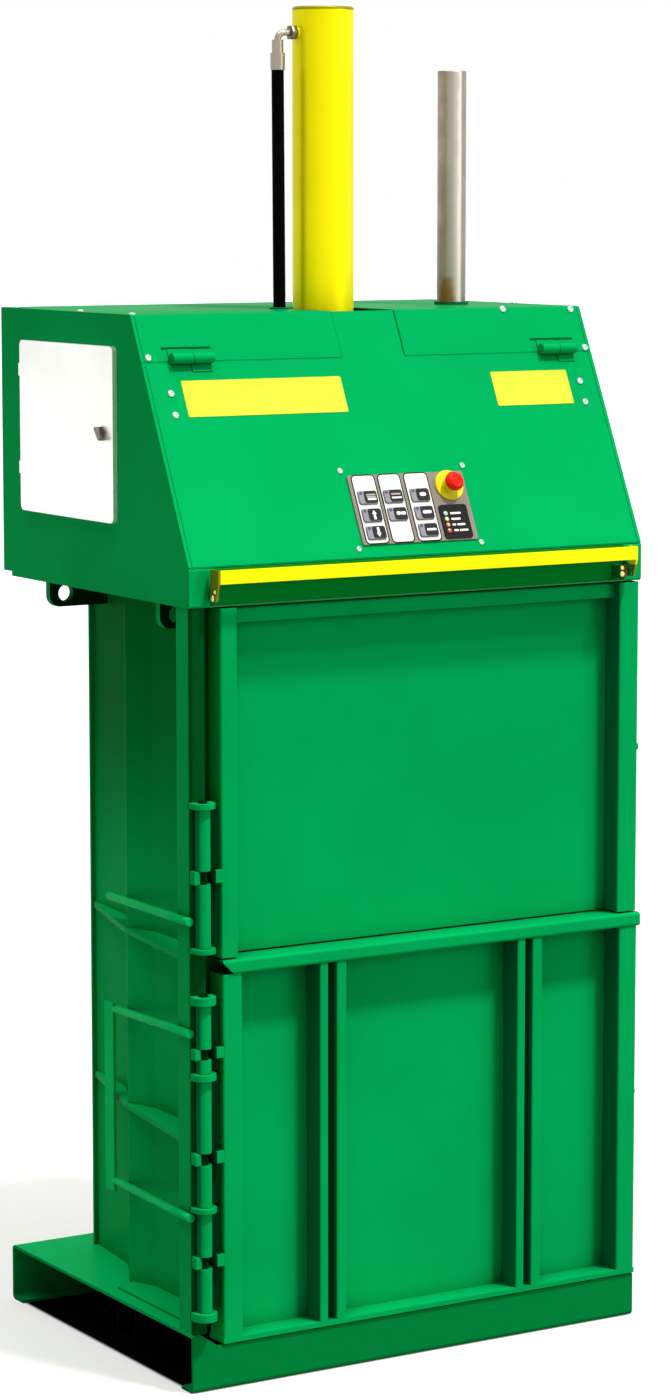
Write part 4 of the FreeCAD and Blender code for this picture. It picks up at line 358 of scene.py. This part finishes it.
# Chrome mirrors the white studio. Bronze and brass reflect it warm, dark zinc dim.
HARD_CHROME = metal("hard_chrome", "d8d9dc", 0.08, 0.1)
TURNED_BRONZE = metal("turned_bronze", "b08a4a", 0.3)
DARK_ZINC = metal("dark_passivated_zinc", "6f6862", 0.25)
PALE_BRASS = metal("pale_brass_stud", "d3d38a", 0.35)
print("materials so far:", len(bpy.data.materials))

# %% [markdown]
# ## Plastics, films and rubber
# Keys and housings are moulded ABS with a fine spark texture. The face of the control
# panel is a printed polyester film: flat, satin, with crisp colours. The hose is rubber,
# dull and a little uneven.

# %% Plastics, films and rubber
MOTTLE_SIZE = 45
SKIN_DEPTH = 0.03 * MM


def dielectric(name, colour, rough, texture=1.1, bump=0.2, veil=0.5):
    """A plastic, film or rubber: a little cloudy, with a fine skin."""
    def shader(tree):
        cloudy = add(tree, "MapRange", {0: speckle(tree, MOTTLE_SIZE, 3.0), 1: 0.35, 2: 0.7},
                     **EASED).outputs[0]
        shade = layered(tree, linear(colour), [(cloudy, linear(colour, 0.86))])
        skin = add(tree, "Bump", {"Height": speckle(tree, texture)}, Strength=bump,
                   Distance=SKIN_DEPTH)
        return add(tree, "BsdfPrincipled", {"Base Color": shade, "Normal": skin.outputs[0]},
                   Roughness=rough, IOR=1.5, Specular_IOR_Level=veil)
    return surface(name, shader)


# Moulded ABS: the spark texture breaks the highlight into a sheen; red and yellow shine more.
BLACK_ABS = dielectric("black_abs", "141415", 0.45)
KEY_ABS = dielectric("grey_violet_key_abs", "8b8590", 0.4)
RED_ABS = dielectric("red_button_abs", "ff230f", 0.25, veil=0.1)
YELLOW_ABS = dielectric("yellow_collar_abs", "e9dc10", 0.3, veil=0.3)
# Rubber is nearly black and has no clear highlight.
RUBBER = dielectric("black_hose_rubber", "010101", 0.6, 2.0, 0.4, 0.02)
# Printed film: flat, satin colour that stops at a crisp edge.
GREY_FILM = dielectric("grey_beige_panel_film", "81786d", 0.4)
WHITE_FILM = dielectric("white_panel_film", "e9e9e9", 0.4)
DARK_FILM = dielectric("dark_panel_film", "1b1a18", 0.4, veil=0.1)
KEY_CAP_FILM = dielectric("black_key_film", "0d0d0d", 0.35, veil=0.3)
# The violet corner is painted shade on each key's rounded flank.
KEY_FLANK_SHADE = dielectric("violet_key_flank_painted_shade", "4b3c72", 0.4)
BEIGE_FILM = dielectric("beige_symbol_film", "a79f92", 0.4)
PLATE_YELLOW = dielectric("bare_yellow_plate", "d8e040", 0.3, veil=0.1)
# Lenses are smooth, so each pale dome holds one small glint.
PALE_GREEN_LENS = dielectric("pale_green_lens", "b9dccb", 0.15)
PALE_YELLOW_LENS = dielectric("pale_yellow_lens", "dedc9a", 0.15)
ORANGE_LENS = dielectric("orange_lens", "e08a6c", 0.15)
RED_LENS = dielectric("red_lens", "de5f58", 0.15)
# Matt greens: the dark seam line, which right of the tongue is a painted shadow; the painted
# shade in gaps, in slots and on the ear block; and the rubber seals. The dull olive plate is
# painted shade of the yellow arm.
SEAM_SHADE = dielectric("dark_seam_and_painted_shadow", "046f3a", 0.7, veil=0.01)
GAP_SHADE_GREEN = dielectric("painted_gap_shade_green", "049552", 0.7, veil=0.01)
DEEP_SHADE_GREEN = dielectric("painted_deep_shade_green", "025c28", 0.7, veil=0.01)
SEAL_RUBBER = dielectric("dark_green_seal", "0a6a42", 0.6, veil=0.02)
SHADED_ARM_PLATE = dielectric("olive_ear_plate_painted_shade", "5a4c06", 0.5, veil=0.05)
print("materials so far:", len(bpy.data.materials))

# %% [markdown]
# ## Finishes of the CAD nodes
# The record names a material slot for each node. One table turns a slot into a finish, so
# no node is left with the plain colour that it came with.

# %% Give every CAD node its finish
FINISHES = {"green_paint": GREEN_COAT, "white_paint": WHITE_COAT, "grey_paint": GREY_COAT,
            "yellow_paint": YELLOW_COAT, "grey_plate": GREY_FILM,
            "black_plastic": BLACK_ABS, "yellow_plastic": YELLOW_ABS,
            "red_plastic": RED_ABS, "black_rubber": RUBBER, "bare_steel": GROUND_STEEL,
            "plated_steel": ZINC, "zinc_plate": GALVANISED, "chromed_rod": HARD_CHROME,
            "bronze": TURNED_BRONZE}
OWN_FINISH = {"cylinder_barrel": BARREL_COAT, "cabinet_lock": DARK_ZINC,
              "base_beam": UNDER_SHADE_COAT, "port_elbow": SATIN_STEEL, "tube_seal": SEAL_RUBBER,
              "corner_post_left": POST_COAT, "feed_door": DOOR_COAT, "bale_door": DOOR_COAT,
              "chamber_wall_left": WALL_COAT, "chamber_wall_right": WALL_COAT,
              "bale_panel": DOOR_COAT, "feed_panel": DOOR_COAT, "hood_tray": TRAY_COAT,
              "base_frame": BASE_COAT, "side_rods": ROD_COAT, "hood_top": TOP_COAT,
              "lifting_lug_front_left": LUG_COAT, "lifting_lug_rear_left": LUG_COAT}
for part in frame["record"]["subparts"]:
    name = part["node"]
    finish = OWN_FINISH.get(name, FINISHES[part["material_slot"]])
    if name.startswith("push_key"):
        finish = KEY_ABS
    materials = frame["nodes"][name].data.materials
    materials.clear()
    materials.append(finish)

# %% [markdown]
# ## Small pieces
# Two ways of making a small piece cover nearly all of them. A flat piece is an outline
# with holes, given a thickness: Blender's filled 2D curves do that and keep the corners
# round. A turned piece is a profile spun round an axis, ring by ring.

# %% Makers of flat and turned pieces
made = []


def piece(name, mesh, material, body):
    """A new object from a mesh, with its finish, on the body that it moves with."""
    part = bpy.data.objects.new(name, mesh)
    bpy.context.scene.collection.objects.link(part)
    mesh.materials.clear()
    mesh.materials.append(material)
    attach(part, body)
    made.append(name)
    return part


def rounded(x_middle, y_middle, width, height, radius, steps=5):
    """Outline of a rectangle with round corners, in mm."""
    points = []
    for turn, (side_x, side_y) in enumerate(((1, 1), (-1, 1), (-1, -1), (1, -1))):
        centre_x = x_middle + side_x * (width / 2 - radius)
        centre_y = y_middle + side_y * (height / 2 - radius)
        for step in range(steps + 1):
            angle = math.radians(90) * (turn + step / steps)
            points.append((centre_x + radius * math.cos(angle),
                           centre_y + radius * math.sin(angle)))
    return points


def flat_mesh(name, outlines, thickness, edge=0.0):
    """Mesh of outlines in mm, holes included, from z = 0 up to a thickness."""
    curve = bpy.data.curves.new(name, "CURVE")
    curve.dimensions = "2D"
    curve.fill_mode = "BOTH"
    curve.extrude = (thickness / 2 - edge) * MM
    curve.bevel_depth = edge * MM
    curve.offset = -edge * MM
    for outline in outlines:
        spline = curve.splines.new("POLY")
        spline.points.add(len(outline) - 1)
        for point, (x, y) in zip(spline.points, outline):
            point.co = (x * MM, y * MM, 0, 1)
        spline.use_cyclic_u = True
    holder = bpy.data.objects.new(name + "_curve", curve)
    mesh = bpy.data.meshes.new_from_object(holder)
    mesh.transform(Matrix.Translation((0, 0, thickness / 2 * MM)))
    bpy.data.objects.remove(holder)
    bpy.data.curves.remove(curve)
    mesh.name = name
    return mesh


def hexagon(angle, reach):
    """Radius of a hexagon with that distance to its corners."""
    wedge = math.radians(60)
    offset = angle % wedge - wedge / 2
    return reach * math.cos(wedge / 2) / math.cos(offset)


def turned_mesh(name, profile, sides=28):
    """Mesh of a profile of (radius, z) in mm spun round z; a radius < 0 is a hexagon's."""
    mesh = bpy.data.meshes.new(name)
    shape = bmesh.new()
    rings = []
    for radius, z in profile:
        ring = []
        for side in range(sides):
            angle = 2 * math.pi * side / sides
            reach = hexagon(angle, -radius) if radius < 0 else radius
            ring.append(shape.verts.new((reach * math.cos(angle) * MM,
                                         reach * math.sin(angle) * MM, z * MM)))
        rings.append(ring)
    for low, high in zip(rings[:-1], rings[1:]):
        for side in range(sides):
            following = (side + 1) % sides
            shape.faces.new((low[side], low[following], high[following], high[side]))
    shape.faces.new(rings[-1])
    shape.faces.new(rings[0][::-1])
    for face in shape.faces:
        face.smooth = len(face.verts) == 4
    shape.to_mesh(mesh)
    shape.free()
    return mesh


print("flats of a hexagon of reach 10:", round(2 * hexagon(math.radians(30), 10), 2))

# %% [markdown]
# ## Screws
# The hood's panels are held by zinc-plated button-head screws with a hexagon socket, about
# fourteen millimetres across. One turned profile with a six-sided pit serves for all; the
# photograph gives the place of each one on the front, and the hidden sides repeat them.

# %% Button-head screws
SCREW_PROFILE = [(6.9, 0.0), (7.0, 0.7), (6.6, 1.9), (5.4, 3.0), (3.6, 3.7), (-2.9, 3.8),
                 (-2.7, 1.9)]
COVER_SCREWS = [(-455, 342), (-456, 299), (457, 341.5), (457, 297.5)]
TOP_SCREWS = [(-485, 414), (489.5, 412), (320, 497), (479, 494)]
PANEL_SCREWS = [(-136, 19.5), (-136, 176), (136, 19.5), (136, 176)]
PANEL_SCREW_SIZE = 0.85


def screw(name, matrix, body, size=1.0):
    scaled = [(radius * size, z * size) for radius, z in SCREW_PROFILE]
    mesh = turned_mesh(name, scaled, 24)
    mesh.transform(matrix)
    return piece(name, mesh, ZINC, body)


for number, (x, s) in enumerate(COVER_SCREWS):
    screw(f"cover_screw_{number}", on_slope(x, s), "front_cover")
for number, (x, s) in enumerate(TOP_SCREWS):
    screw(f"top_screw_{number}", on_slope(x, s), "frame")
for number, (x, s) in enumerate(PANEL_SCREWS):
    screw(f"panel_screw_{number}", on_slope(x, s), "front_cover", PANEL_SCREW_SIZE)
HOOD_TOP_Z = 1993
EDGE_SCREWS = [(x, y) for x in (-492, 492) for y in (-147, 58, 325)]
for number, (x, y) in enumerate(EDGE_SCREWS):
    screw(f"edge_screw_{number}", facing((x, y, HOOD_TOP_Z), (0, 0, 1), (0, 1, 0)), "frame")
print("screws:", len(made))

# %% [markdown]
# ## Bare yellow plates
# Two yellow plates sit on the sloped cover. They stay bare. Each is a thin enamelled sheet
# with small corners, a hair's breadth proud of the paint.

# %% Yellow plates
PLATE_THICKNESS, PLATE_CORNER = 0.8, 3
PLATES = [(-429, -85.5, 294, 366.5), (253, 430, 295, 366)]
for number, (x0, x1, s0, s1) in enumerate(PLATES):
    mesh = flat_mesh(f"yellow_plate_{number}",
                     [rounded((x0 + x1) / 2, (s0 + s1) / 2, x1 - x0, s1 - s0,
                              PLATE_CORNER)],
                     PLATE_THICKNESS, 0.2)
    mesh.transform(on_slope(0, 0))
    piece(f"yellow_plate_{number}", mesh, PLATE_YELLOW, "front_cover")
print("pieces so far:", len(made))

# %% [markdown]
# ## Control panel print
# The grey panel carries three white columns with thin dark outlines. They are printed
# film, so each is a flat piece with an opening for every key, and a slightly larger dark
# piece under it makes the outline.

# %% White columns with dark outlines
PANEL_FACE = 3.0
FILM = 0.25
KEY_WIDTH, KEY_HEIGHT, KEY_CORNER = 41.0, 26.5, 5.0
KEY_TOP = 7.0
KEYS = [(-92.6, 119.0), (-92.6, 83.3), (-92.6, 48.5), (-36.3, 119.0), (-36.3, 83.3),
        (23.0, 119.0), (23.0, 83.3), (23.0, 48.5)]
COLUMNS = [(-116.5, -69.0), (-59.0, -13.0), (-1.5, 47.5)]
COLUMN_LOW, COLUMN_HIGH, COLUMN_CORNER = 28.5, 163.0, 7
OUTLINE = 2.6
for number, (x0, x1) in enumerate(COLUMNS):
    openings = [rounded(x, s, KEY_WIDTH + 1, KEY_HEIGHT + 1, KEY_CORNER)
                for x, s in KEYS if x0 < x < x1]
    middle = ((x0 + x1) / 2, (COLUMN_LOW + COLUMN_HIGH) / 2)
    size = (x1 - x0, COLUMN_HIGH - COLUMN_LOW)
    for grow, low, material, label in ((OUTLINE, 0.0, DARK_FILM, "outline"),
                                       (0.0, FILM, WHITE_FILM, "column")):
        name = f"panel_{label}_{number}"
        mesh = flat_mesh(name, [rounded(*middle, size[0] + 2 * grow, size[1] + 2 * grow,
                                        COLUMN_CORNER + grow)] + openings, FILM)
        mesh.transform(on_slope(0, 0, PANEL_FACE + low))
        piece(name, mesh, material, "front_cover")
print("pieces so far:", len(made))

# %% [markdown]
# ## Keys
# Each key is a grey-violet moulding with a black face set to its right, and a plain white
# symbol on it: arrows, bars and rounded blocks. A violet corner at its top left is painted
# shade on the key's rounded flank. The symbols are generic shapes. Everything on a key rides
# with that key, so it goes down when the key is pressed.

# %% Key faces and symbols


def bar(x, s, width, height, radius=1.0):
    return rounded(x, s, width, height, min(radius, width / 2 - 0.1, height / 2 - 0.1))


def arrow(x, s, length, up):
    """An upright arrow with a wide shaft, pointing up or down the slope."""
    way = 1 if up else -1
    shaft, head = 2.6, 5.2
    return [(x - shaft, s - way * length / 2), (x + shaft, s - way * length / 2),
            (x + shaft, s + way * 1.5), (x + head, s + way * 1.5),
            (x, s + way * length / 2), (x - head, s + way * 1.5), (x - shaft, s + way * 1.5)]


SYMBOLS = {1: [(BEIGE_FILM, bar(6, 4.5, 20, 3)), (BEIGE_FILM, bar(6, 0.4, 20, 3)),
               (WHITE_FILM, bar(7, -4.2, 19, 4.2))],
           2: [(WHITE_FILM, arrow(4, 0, 19, True))],
           3: [(WHITE_FILM, arrow(4, 0, 19, False))],
           4: [(BEIGE_FILM, bar(5, 3.6, 21, 3.4)), (WHITE_FILM, bar(5.5, -3.6, 22, 3.6))],
           5: [(WHITE_FILM, bar(1.0, 0.8, 9, 7, 3)), (WHITE_FILM, bar(11.0, 0.4, 12, 6.4, 3))],
           6: [(WHITE_FILM, bar(5, 0.6, 14, 7.4, 3.4))],
           7: [(WHITE_FILM, bar(5, 0.4, 20, 6.4, 3))],
           8: [(WHITE_FILM, bar(5.5, 0.0, 21, 4.4, 1.6))]}
FACE_SIZE, CORNER_SIZE = (28.5, 24.0, 4.5), (7.0, 6.0, 2.6)
for number, (x, s) in enumerate(KEYS, start=1):
    body = f"key_{number}"
    # The violet corner piece is painted shade.
    faces = [("face", KEY_CAP_FILM, bar(x + 5.2, s, *FACE_SIZE), 0.0),
             ("corner", KEY_FLANK_SHADE, bar(x - 15.0, s + 8.0, *CORNER_SIZE), 0.0)]
    for index, (material, points) in enumerate(SYMBOLS[number]):
        faces.append((f"symbol_{index}", material, [(x + px, s + ps) for px, ps in points],
                      FILM))
    for label, material, points, low in faces:
        name = f"key_{number}_{label}"
        mesh = flat_mesh(name, [points], FILM)
        mesh.transform(on_slope(0, 0, KEY_TOP + low))
        piece(name, mesh, material, body)
print("pieces so far:", len(made))

# %% [markdown]
# ## Lamp field
# Four lamps sit in a raised black field, each with a white dash beside it. A thin black
# shell covers the field, and a turned lens caps each dome: pale green, pale yellow, orange
# and red, from the top.

# %% Lamps
FIELD = (57.0, 118.5, 29.0, 96.5)
FIELD_HEIGHT, FIELD_OVERLAP, FIELD_CORNER = 2.0, 0.8, 6.4
LAMP_X = 68.5
LAMPS = [(79.0, PALE_GREEN_LENS, [(91.0, 24)]), (67.5, PALE_YELLOW_LENS, [(89.0, 21)]),
         (56.0, ORANGE_LENS, [(82.0, 8), (98.0, 18)]),
         (44.5, RED_LENS, [(84.0, 10), (101.0, 19)])]
DASH_HEIGHT = 4.0
LENS_PROFILE = [(4.6, 0.0), (4.6, 0.7), (3.9, 1.7), (2.7, 2.4), (1.2, 2.75), (0.3, 2.8)]
x_middle, s_middle = (FIELD[0] + FIELD[1]) / 2, (FIELD[2] + FIELD[3]) / 2
field_mesh = flat_mesh("lamp_field_shell",
                       [rounded(x_middle, s_middle, FIELD[1] - FIELD[0] + FIELD_OVERLAP,
                                FIELD[3] - FIELD[2] + FIELD_OVERLAP, FIELD_CORNER)],
                       FIELD_HEIGHT + FILM, 0.2)
field_mesh.transform(on_slope(0, 0, PANEL_FACE))
piece("lamp_field_shell", field_mesh, DARK_FILM, "front_cover")
for number, (s, lens, dashes) in enumerate(LAMPS):
    mesh = turned_mesh(f"lamp_lens_{number}", LENS_PROFILE, 24)
    mesh.transform(on_slope(LAMP_X, s, PANEL_FACE + FIELD_HEIGHT + FILM))
    piece(f"lamp_lens_{number}", mesh, lens, "front_cover")
    for index, (x, width) in enumerate(dashes):
        name = f"lamp_dash_{number}_{index}"
        mesh = flat_mesh(name, [bar(x, s, width, DASH_HEIGHT, 1.8)], FILM)
        mesh.transform(on_slope(0, 0, PANEL_FACE + FIELD_HEIGHT + FILM))
        piece(name, mesh, WHITE_FILM, "front_cover")
print("pieces so far:", len(made))

# %% [markdown]
# ## Seams of the hood
# The side panels' folded rims show as narrow strips beside the sloped sheets, with a darker
# joint between. A slim bead of sealant in the joint's colour draws that line.

# %% Joint lines along the hood's edges
JOINT_X = 494.5
JOINT_WIDTH = 1.5
JOINT_PROUD = 0.25
for label, body, s0, s1 in (("cover", "front_cover", 3, 402), ("top", "frame", 406, 497)):
    for side in (-1, 1):
        name = f"{label}_joint_{'left' if side < 0 else 'right'}"
        mesh = flat_mesh(name, [bar(side * JOINT_X, (s0 + s1) / 2, JOINT_WIDTH, s1 - s0, 0.5)],
                         JOINT_PROUD)
        mesh.transform(on_slope(0, 0))
        piece(name, mesh, SEAM_SHADE, body)
print("pieces so far:", len(made))

# %% [markdown]
# ## Painted shade in the gaps
# The gap above the cover and the two slots of its hinges have a green sheet just below the
# surface that paints the shade seen there, so they read as green lines and not as black ones.
# The sheet stays on the hood, and the cover swings away from it. Beside the cover's tongue a
# strip paints each edge: a dark painted shadow on the right, a flush strip of lit green on the
# left.

# %% Painted shade in the cover's gap and in the hinge slots
GAP_SHADE_THICKNESS, GAP_SHADE_DEPTH = 0.8, 1.0
# Each sheet is painted shade, in the colour that its gap shows.
GAP_SHADES = {"lip_gap_shade": ((-499, 0.2), (499, 1.8), GAP_SHADE_GREEN),
         "gap_shade_left": ((-501, 402.9), (-71.5, 405.3), GAP_SHADE_GREEN),
         "gap_shade_right": ((71.5, 402.9), (501, 405.3), GAP_SHADE_GREEN),
         "slot_shade_left": ((-453.7, 429.3), (-350.3, 433.7), DEEP_SHADE_GREEN),
         "slot_shade_right": ((365.3, 429.3), (464.7, 433.7), DEEP_SHADE_GREEN)}
for name, ((x0, s0), (x1, s1), finish) in GAP_SHADES.items():
    mesh = flat_mesh(name, [bar((x0 + x1) / 2, (s0 + s1) / 2, x1 - x0, s1 - s0, 0.3)],
                     GAP_SHADE_THICKNESS)
    mesh.transform(on_slope(0, 0, -GAP_SHADE_DEPTH - GAP_SHADE_THICKNESS / 2))
    piece(name, mesh, finish, "frame")
# Right of the tongue a dark strip paints the shadow of its raised edge; left of it a flush green
# strip paints the gap over as lit green.
TONGUE_MIDDLE, TONGUE_LENGTH = 453, 90
for label, x, width, thickness, low, finish in (
        ("left", -70.5, 0.8, 0.4, -0.4, GREEN_COAT),
        ("right", 68.7, 2.6, JOINT_PROUD, 0, SEAM_SHADE)):
    name = f"tongue_joint_{label}"
    mesh = flat_mesh(name, [bar(x, TONGUE_MIDDLE, width, TONGUE_LENGTH, 0.3)], thickness)
    mesh.transform(on_slope(0, 0, low))
    piece(name, mesh, finish, "front_cover")
print("pieces so far:", len(made))

# %% [markdown]
# ## Studs of the trip bar
# The bar turns on two pins. Each end shows a pair of pale studs, the larger one on the pin
# itself; on the right they sit on an olive plate that a small block holds off the tray. The
# plate is painted shade of the yellow arm, and the block is painted in the tray's shade.
# All four studs are turned buttons.

# %% Trip bar studs
STUD_PROFILE = [(1.0, 0.0), (1.0, 0.35), (0.8, 0.6), (0.35, 0.72)]
STUDS = {"stud_left_pin": ((-462, -392, 1487.5), (-1, 0, 0), 6.0, "trip_bar"),
         "stud_left_spring": ((-461, -398.5, 1499.5), (-1, -0.4, 0), 3.6, "trip_bar"),
         "stud_right_pin": ((438.5, -400.0, 1486.5), (0, -1, 0), 5.2, "frame"),
         "stud_right_spring": ((438.5, -400.0, 1498.5), (0, -1, 0), 4.4, "frame")}
for name, (place, normal, radius, body) in STUDS.items():
    mesh = turned_mesh(name, [(r * radius, z * radius) for r, z in STUD_PROFILE], 24)
    mesh.transform(facing(place, normal))
    piece(name, mesh, PALE_BRASS, body)
# Painted shade: the block takes the shaded tray's green, the plate the yellow arm in shade.
EAR_DEPTH = 24.9
EAR_Z, EAR_HEIGHT, EAR_CORNER = 1492, 26, 5
for name, x, width, y, depth, finish in (
        ("ear_block_right", 439.5, 13, HOOD_FRONT_Y, EAR_DEPTH, DEEP_SHADE_GREEN),
        ("ear_plate_right", 442.0, 19, HOOD_FRONT_Y - EAR_DEPTH, 0.6, SHADED_ARM_PLATE)):
    mesh = flat_mesh(name, [bar(0, 0, width, EAR_HEIGHT, EAR_CORNER)], depth, min(1.0, depth / 3))
    mesh.transform(facing((x, y, EAR_Z), (0, -1, 0)))
    piece(name, mesh, finish, "frame")
print("pieces so far:", len(made))

# %% [markdown]
# ## Hose
# A rubber pressure hose runs down from the elbow through the hood, leaning by three
# millimetres on its way, as far as its hole allows. It is one smooth curve with a round
# bevel, so it stays a single cord of known length.

# %% Hose
HOSE_X, HOSE_Y = -101, -12.5
HOSE_TOP, HOSE_BOTTOM = 2447, 1872
HOSE_LEAN = 3 / (HOSE_TOP - HOOD_TOP_Z)
HOSE_DIAMETER = 24
curve = bpy.data.curves.new("hose_rubber", "CURVE")
curve.dimensions = "3D"
curve.bevel_depth = HOSE_DIAMETER / 2 * MM
curve.bevel_resolution = 6
curve.use_fill_caps = True
route = curve.splines.new("NURBS")
ROUTE_HEIGHTS = (HOSE_TOP, 2303, 2160, 2016, HOSE_BOTTOM)
route.points.add(len(ROUTE_HEIGHTS) - 1)
for point, z in zip(route.points, ROUTE_HEIGHTS):
    point.co = ((HOSE_X + HOSE_LEAN * (HOSE_TOP - z)) * MM, HOSE_Y * MM, z * MM, 1)
route.order_u = 3
route.use_endpoint_u = True
curve.materials.append(RUBBER)
hose = bpy.data.objects.new("hose_rubber", curve)
bpy.context.scene.collection.objects.link(hose)
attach(hose, "frame")
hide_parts("pressure_hose")
print("hose:", HOSE_TOP - HOSE_BOTTOM, "mm long")

# %% [markdown]
# ## Port nut and grommet
# A dark hexagon nut closes the port on the cylinder, and a rubber grommet lines the hose's
# hole in the hood. Both are turned profiles, the nut with the hexagon's reach.

# %% Port nut and grommet
PORT_X, PORT_Z = -62.3, 2518
NUT_PROFILE = [(9.0, 0), (-14.2, 0.1), (-14.8, 1.2), (-14.8, 11.5), (-14.2, 12.6), (9.0, 12.7)]
nut = turned_mesh("port_nut", NUT_PROFILE, 36)
nut.transform(facing((PORT_X, HOSE_Y, PORT_Z), (-1, 0, 0)))
piece("port_nut", nut, NUT_STEEL, "frame")
GROMMET_PROFILE = [(19, 0), (19, 2.4), (18, 3.2), (14.5, 3.2), (12.6, 2.4)]
grommet = turned_mesh("hose_grommet", GROMMET_PROFILE, 40)
grommet_x = HOSE_X + HOSE_LEAN * (HOSE_TOP - HOOD_TOP_Z)
grommet.transform(Matrix.Translation(Vector((grommet_x, HOSE_Y, HOOD_TOP_Z)) * MM))
piece("hose_grommet", grommet, SEAL_RUBBER, "frame")
print("pieces so far:", len(made))

# %% [markdown]
# ## Camera
# The camera stands left of the machine, at hood height, and looks slightly down through a
# long lens. Place, turn and lens were worked out from the edges along the three axes.

# %% Camera
CAMERA_PLACE = Vector((-3929.8, -6517.2, 2235.1)) * MM
TURNED_DOWN, TURNED_RIGHT = 7.55, 31.32
camera = bpy.data.objects.new("camera", bpy.data.cameras.new("camera"))
bpy.context.scene.collection.objects.link(camera)
camera.location = CAMERA_PLACE
camera.rotation_euler = (math.radians(90 - TURNED_DOWN), 0, math.radians(-TURNED_RIGHT))
camera.data.lens = 100.5
camera.data.sensor_width = 36
camera.data.clip_end = 200
bpy.context.scene.camera = camera
print("camera:", camera.data.lens, "mm lens")

# %% [markdown]
# ## Light
# A key light comes from high on the right. A broad light from above brings out the top
# faces on both sides, and a weak one from the front opens the shade under the hood.

# %% Lamps of the studio
SUNS = {"key_light": ((0.18, -0.38, 0.84), 3.0, 6),
        "top_light": ((-0.1, -0.05, 1.0), 2.0, 60),
        "front_light": ((0.62, -0.75, 0.26), 0.75, 24)}
for label, (direction, strength, width) in SUNS.items():
    sun = bpy.data.objects.new(label, bpy.data.lights.new(label, "SUN"))
    sun.data.energy = strength
    sun.data.angle = math.radians(width)
    sun.rotation_euler = Vector(direction).to_track_quat("Z", "Y").to_euler()
    bpy.context.scene.collection.objects.link(sun)
print("lamps:", len(SUNS))

# %% [markdown]
# ## World
# A weak fill comes from all round. The camera, and mirror and glass rays, see white instead,
# so the background is white without more light on the machine.

# %% World
FILL_STRENGTH = 0.3
world = bpy.data.worlds.new("white_studio")
bpy.context.scene.world = world
world.use_nodes = True
sky = world.node_tree
sky.nodes.clear()


def white_rays(tree):
    """One for camera, mirror and glass rays, zero for the light that falls on things."""
    rays = add(tree, "LightPath").outputs
    seen = add(tree, "Math", {0: rays["Is Camera Ray"], 1: rays["Is Glossy Ray"]},
               operation="MAXIMUM").outputs[0]
    return add(tree, "Math", {0: seen, 1: rays["Is Transmission Ray"]},
               operation="MAXIMUM").outputs[0]


fill = add(sky, "Background", Color=(1, 1, 0.7, 1), Strength=FILL_STRENGTH)
white = add(sky, "Background", Color=(1, 1, 1, 1), Strength=1.0)
chosen = add(sky, "MixShader", {0: white_rays(sky), 1: fill.outputs[0], 2: white.outputs[0]})
add(sky, "OutputWorld", {"Surface": chosen.outputs[0]})
print("fill strength:", FILL_STRENGTH)

# %% [markdown]
# ## Ground
# The ground is white to the camera and keeps the machine's soft shadow; under the base it is
# painted near black as shade. For the light that bounces up into the machine it is darker,
# or the left side, which is deep in shade on the photograph, would be washed out.

# %% Ground
GROUND_REACH = 60.0
GROUND_BOUNCE = (0.27, 0.27, 0.21, 1)
FOOTPRINT = (0.5, 0.3725)
FOOTPRINT_EDGE = 0.012


def under_base(tree):
    """One under the machine's base, zero beside it, with a soft edge."""
    place = add(tree, "NewGeometry").outputs["Position"]
    axes = add(tree, "SeparateXYZ", {0: place}).outputs
    inside = 1.0
    for axis, reach in enumerate(FOOTPRINT):
        away = add(tree, "Math", {0: axes[axis]}, operation="ABSOLUTE").outputs[0]
        edge = add(tree, "MapRange", {0: away, 1: reach, 2: reach - FOOTPRINT_EDGE}, **EASED)
        inside = add(tree, "Math", {0: inside, 1: edge.outputs[0]},
                     operation="MULTIPLY").outputs[0]
    return inside


def ground_shader(tree):
    mottle = layered(tree, (0.9, 0.9, 0.9, 1), [(speckle(tree, 25), (0.94, 0.94, 0.94, 1))])
    paper = add(tree, "BsdfDiffuse", {"Color": mottle})
    glow = add(tree, "Emission", Color=(1, 1, 1, 1), Strength=1.0)
    shown = add(tree, "MixShader", {1: paper.outputs[0], 2: glow.outputs[0]}, Fac=0.5)
    bounce = add(tree, "BsdfDiffuse", Color=GROUND_BOUNCE)
    lit = add(tree, "MixShader", {0: white_rays(tree), 1: bounce.outputs[0],
                                  2: shown.outputs[0]})
    # Painted shade: near black under the base.
    dark = add(tree, "BsdfDiffuse", Color=(0.002, 0.002, 0.002, 1))
    return add(tree, "MixShader", {0: under_base(tree), 1: lit.outputs[0],
                                   2: dark.outputs[0]})


mesh = bpy.data.meshes.new("ground")
corners = [(-GROUND_REACH, -GROUND_REACH, 0), (GROUND_REACH, -GROUND_REACH, 0),
           (GROUND_REACH, GROUND_REACH, 0), (-GROUND_REACH, GROUND_REACH, 0)]
mesh.from_pydata(corners, [], [(0, 1, 2, 3)])
mesh.materials.append(surface("white_ground", ground_shader))
ground = bpy.data.objects.new("ground", mesh)
bpy.context.scene.collection.objects.link(ground)

bpy.context.scene.view_settings.view_transform = "Standard"
print("ground reaches", GROUND_REACH, "m")

# %% [markdown]
# ## Pieces
# The number of small pieces that this script made.

# %% Count the pieces
print("pieces made:", len(made))
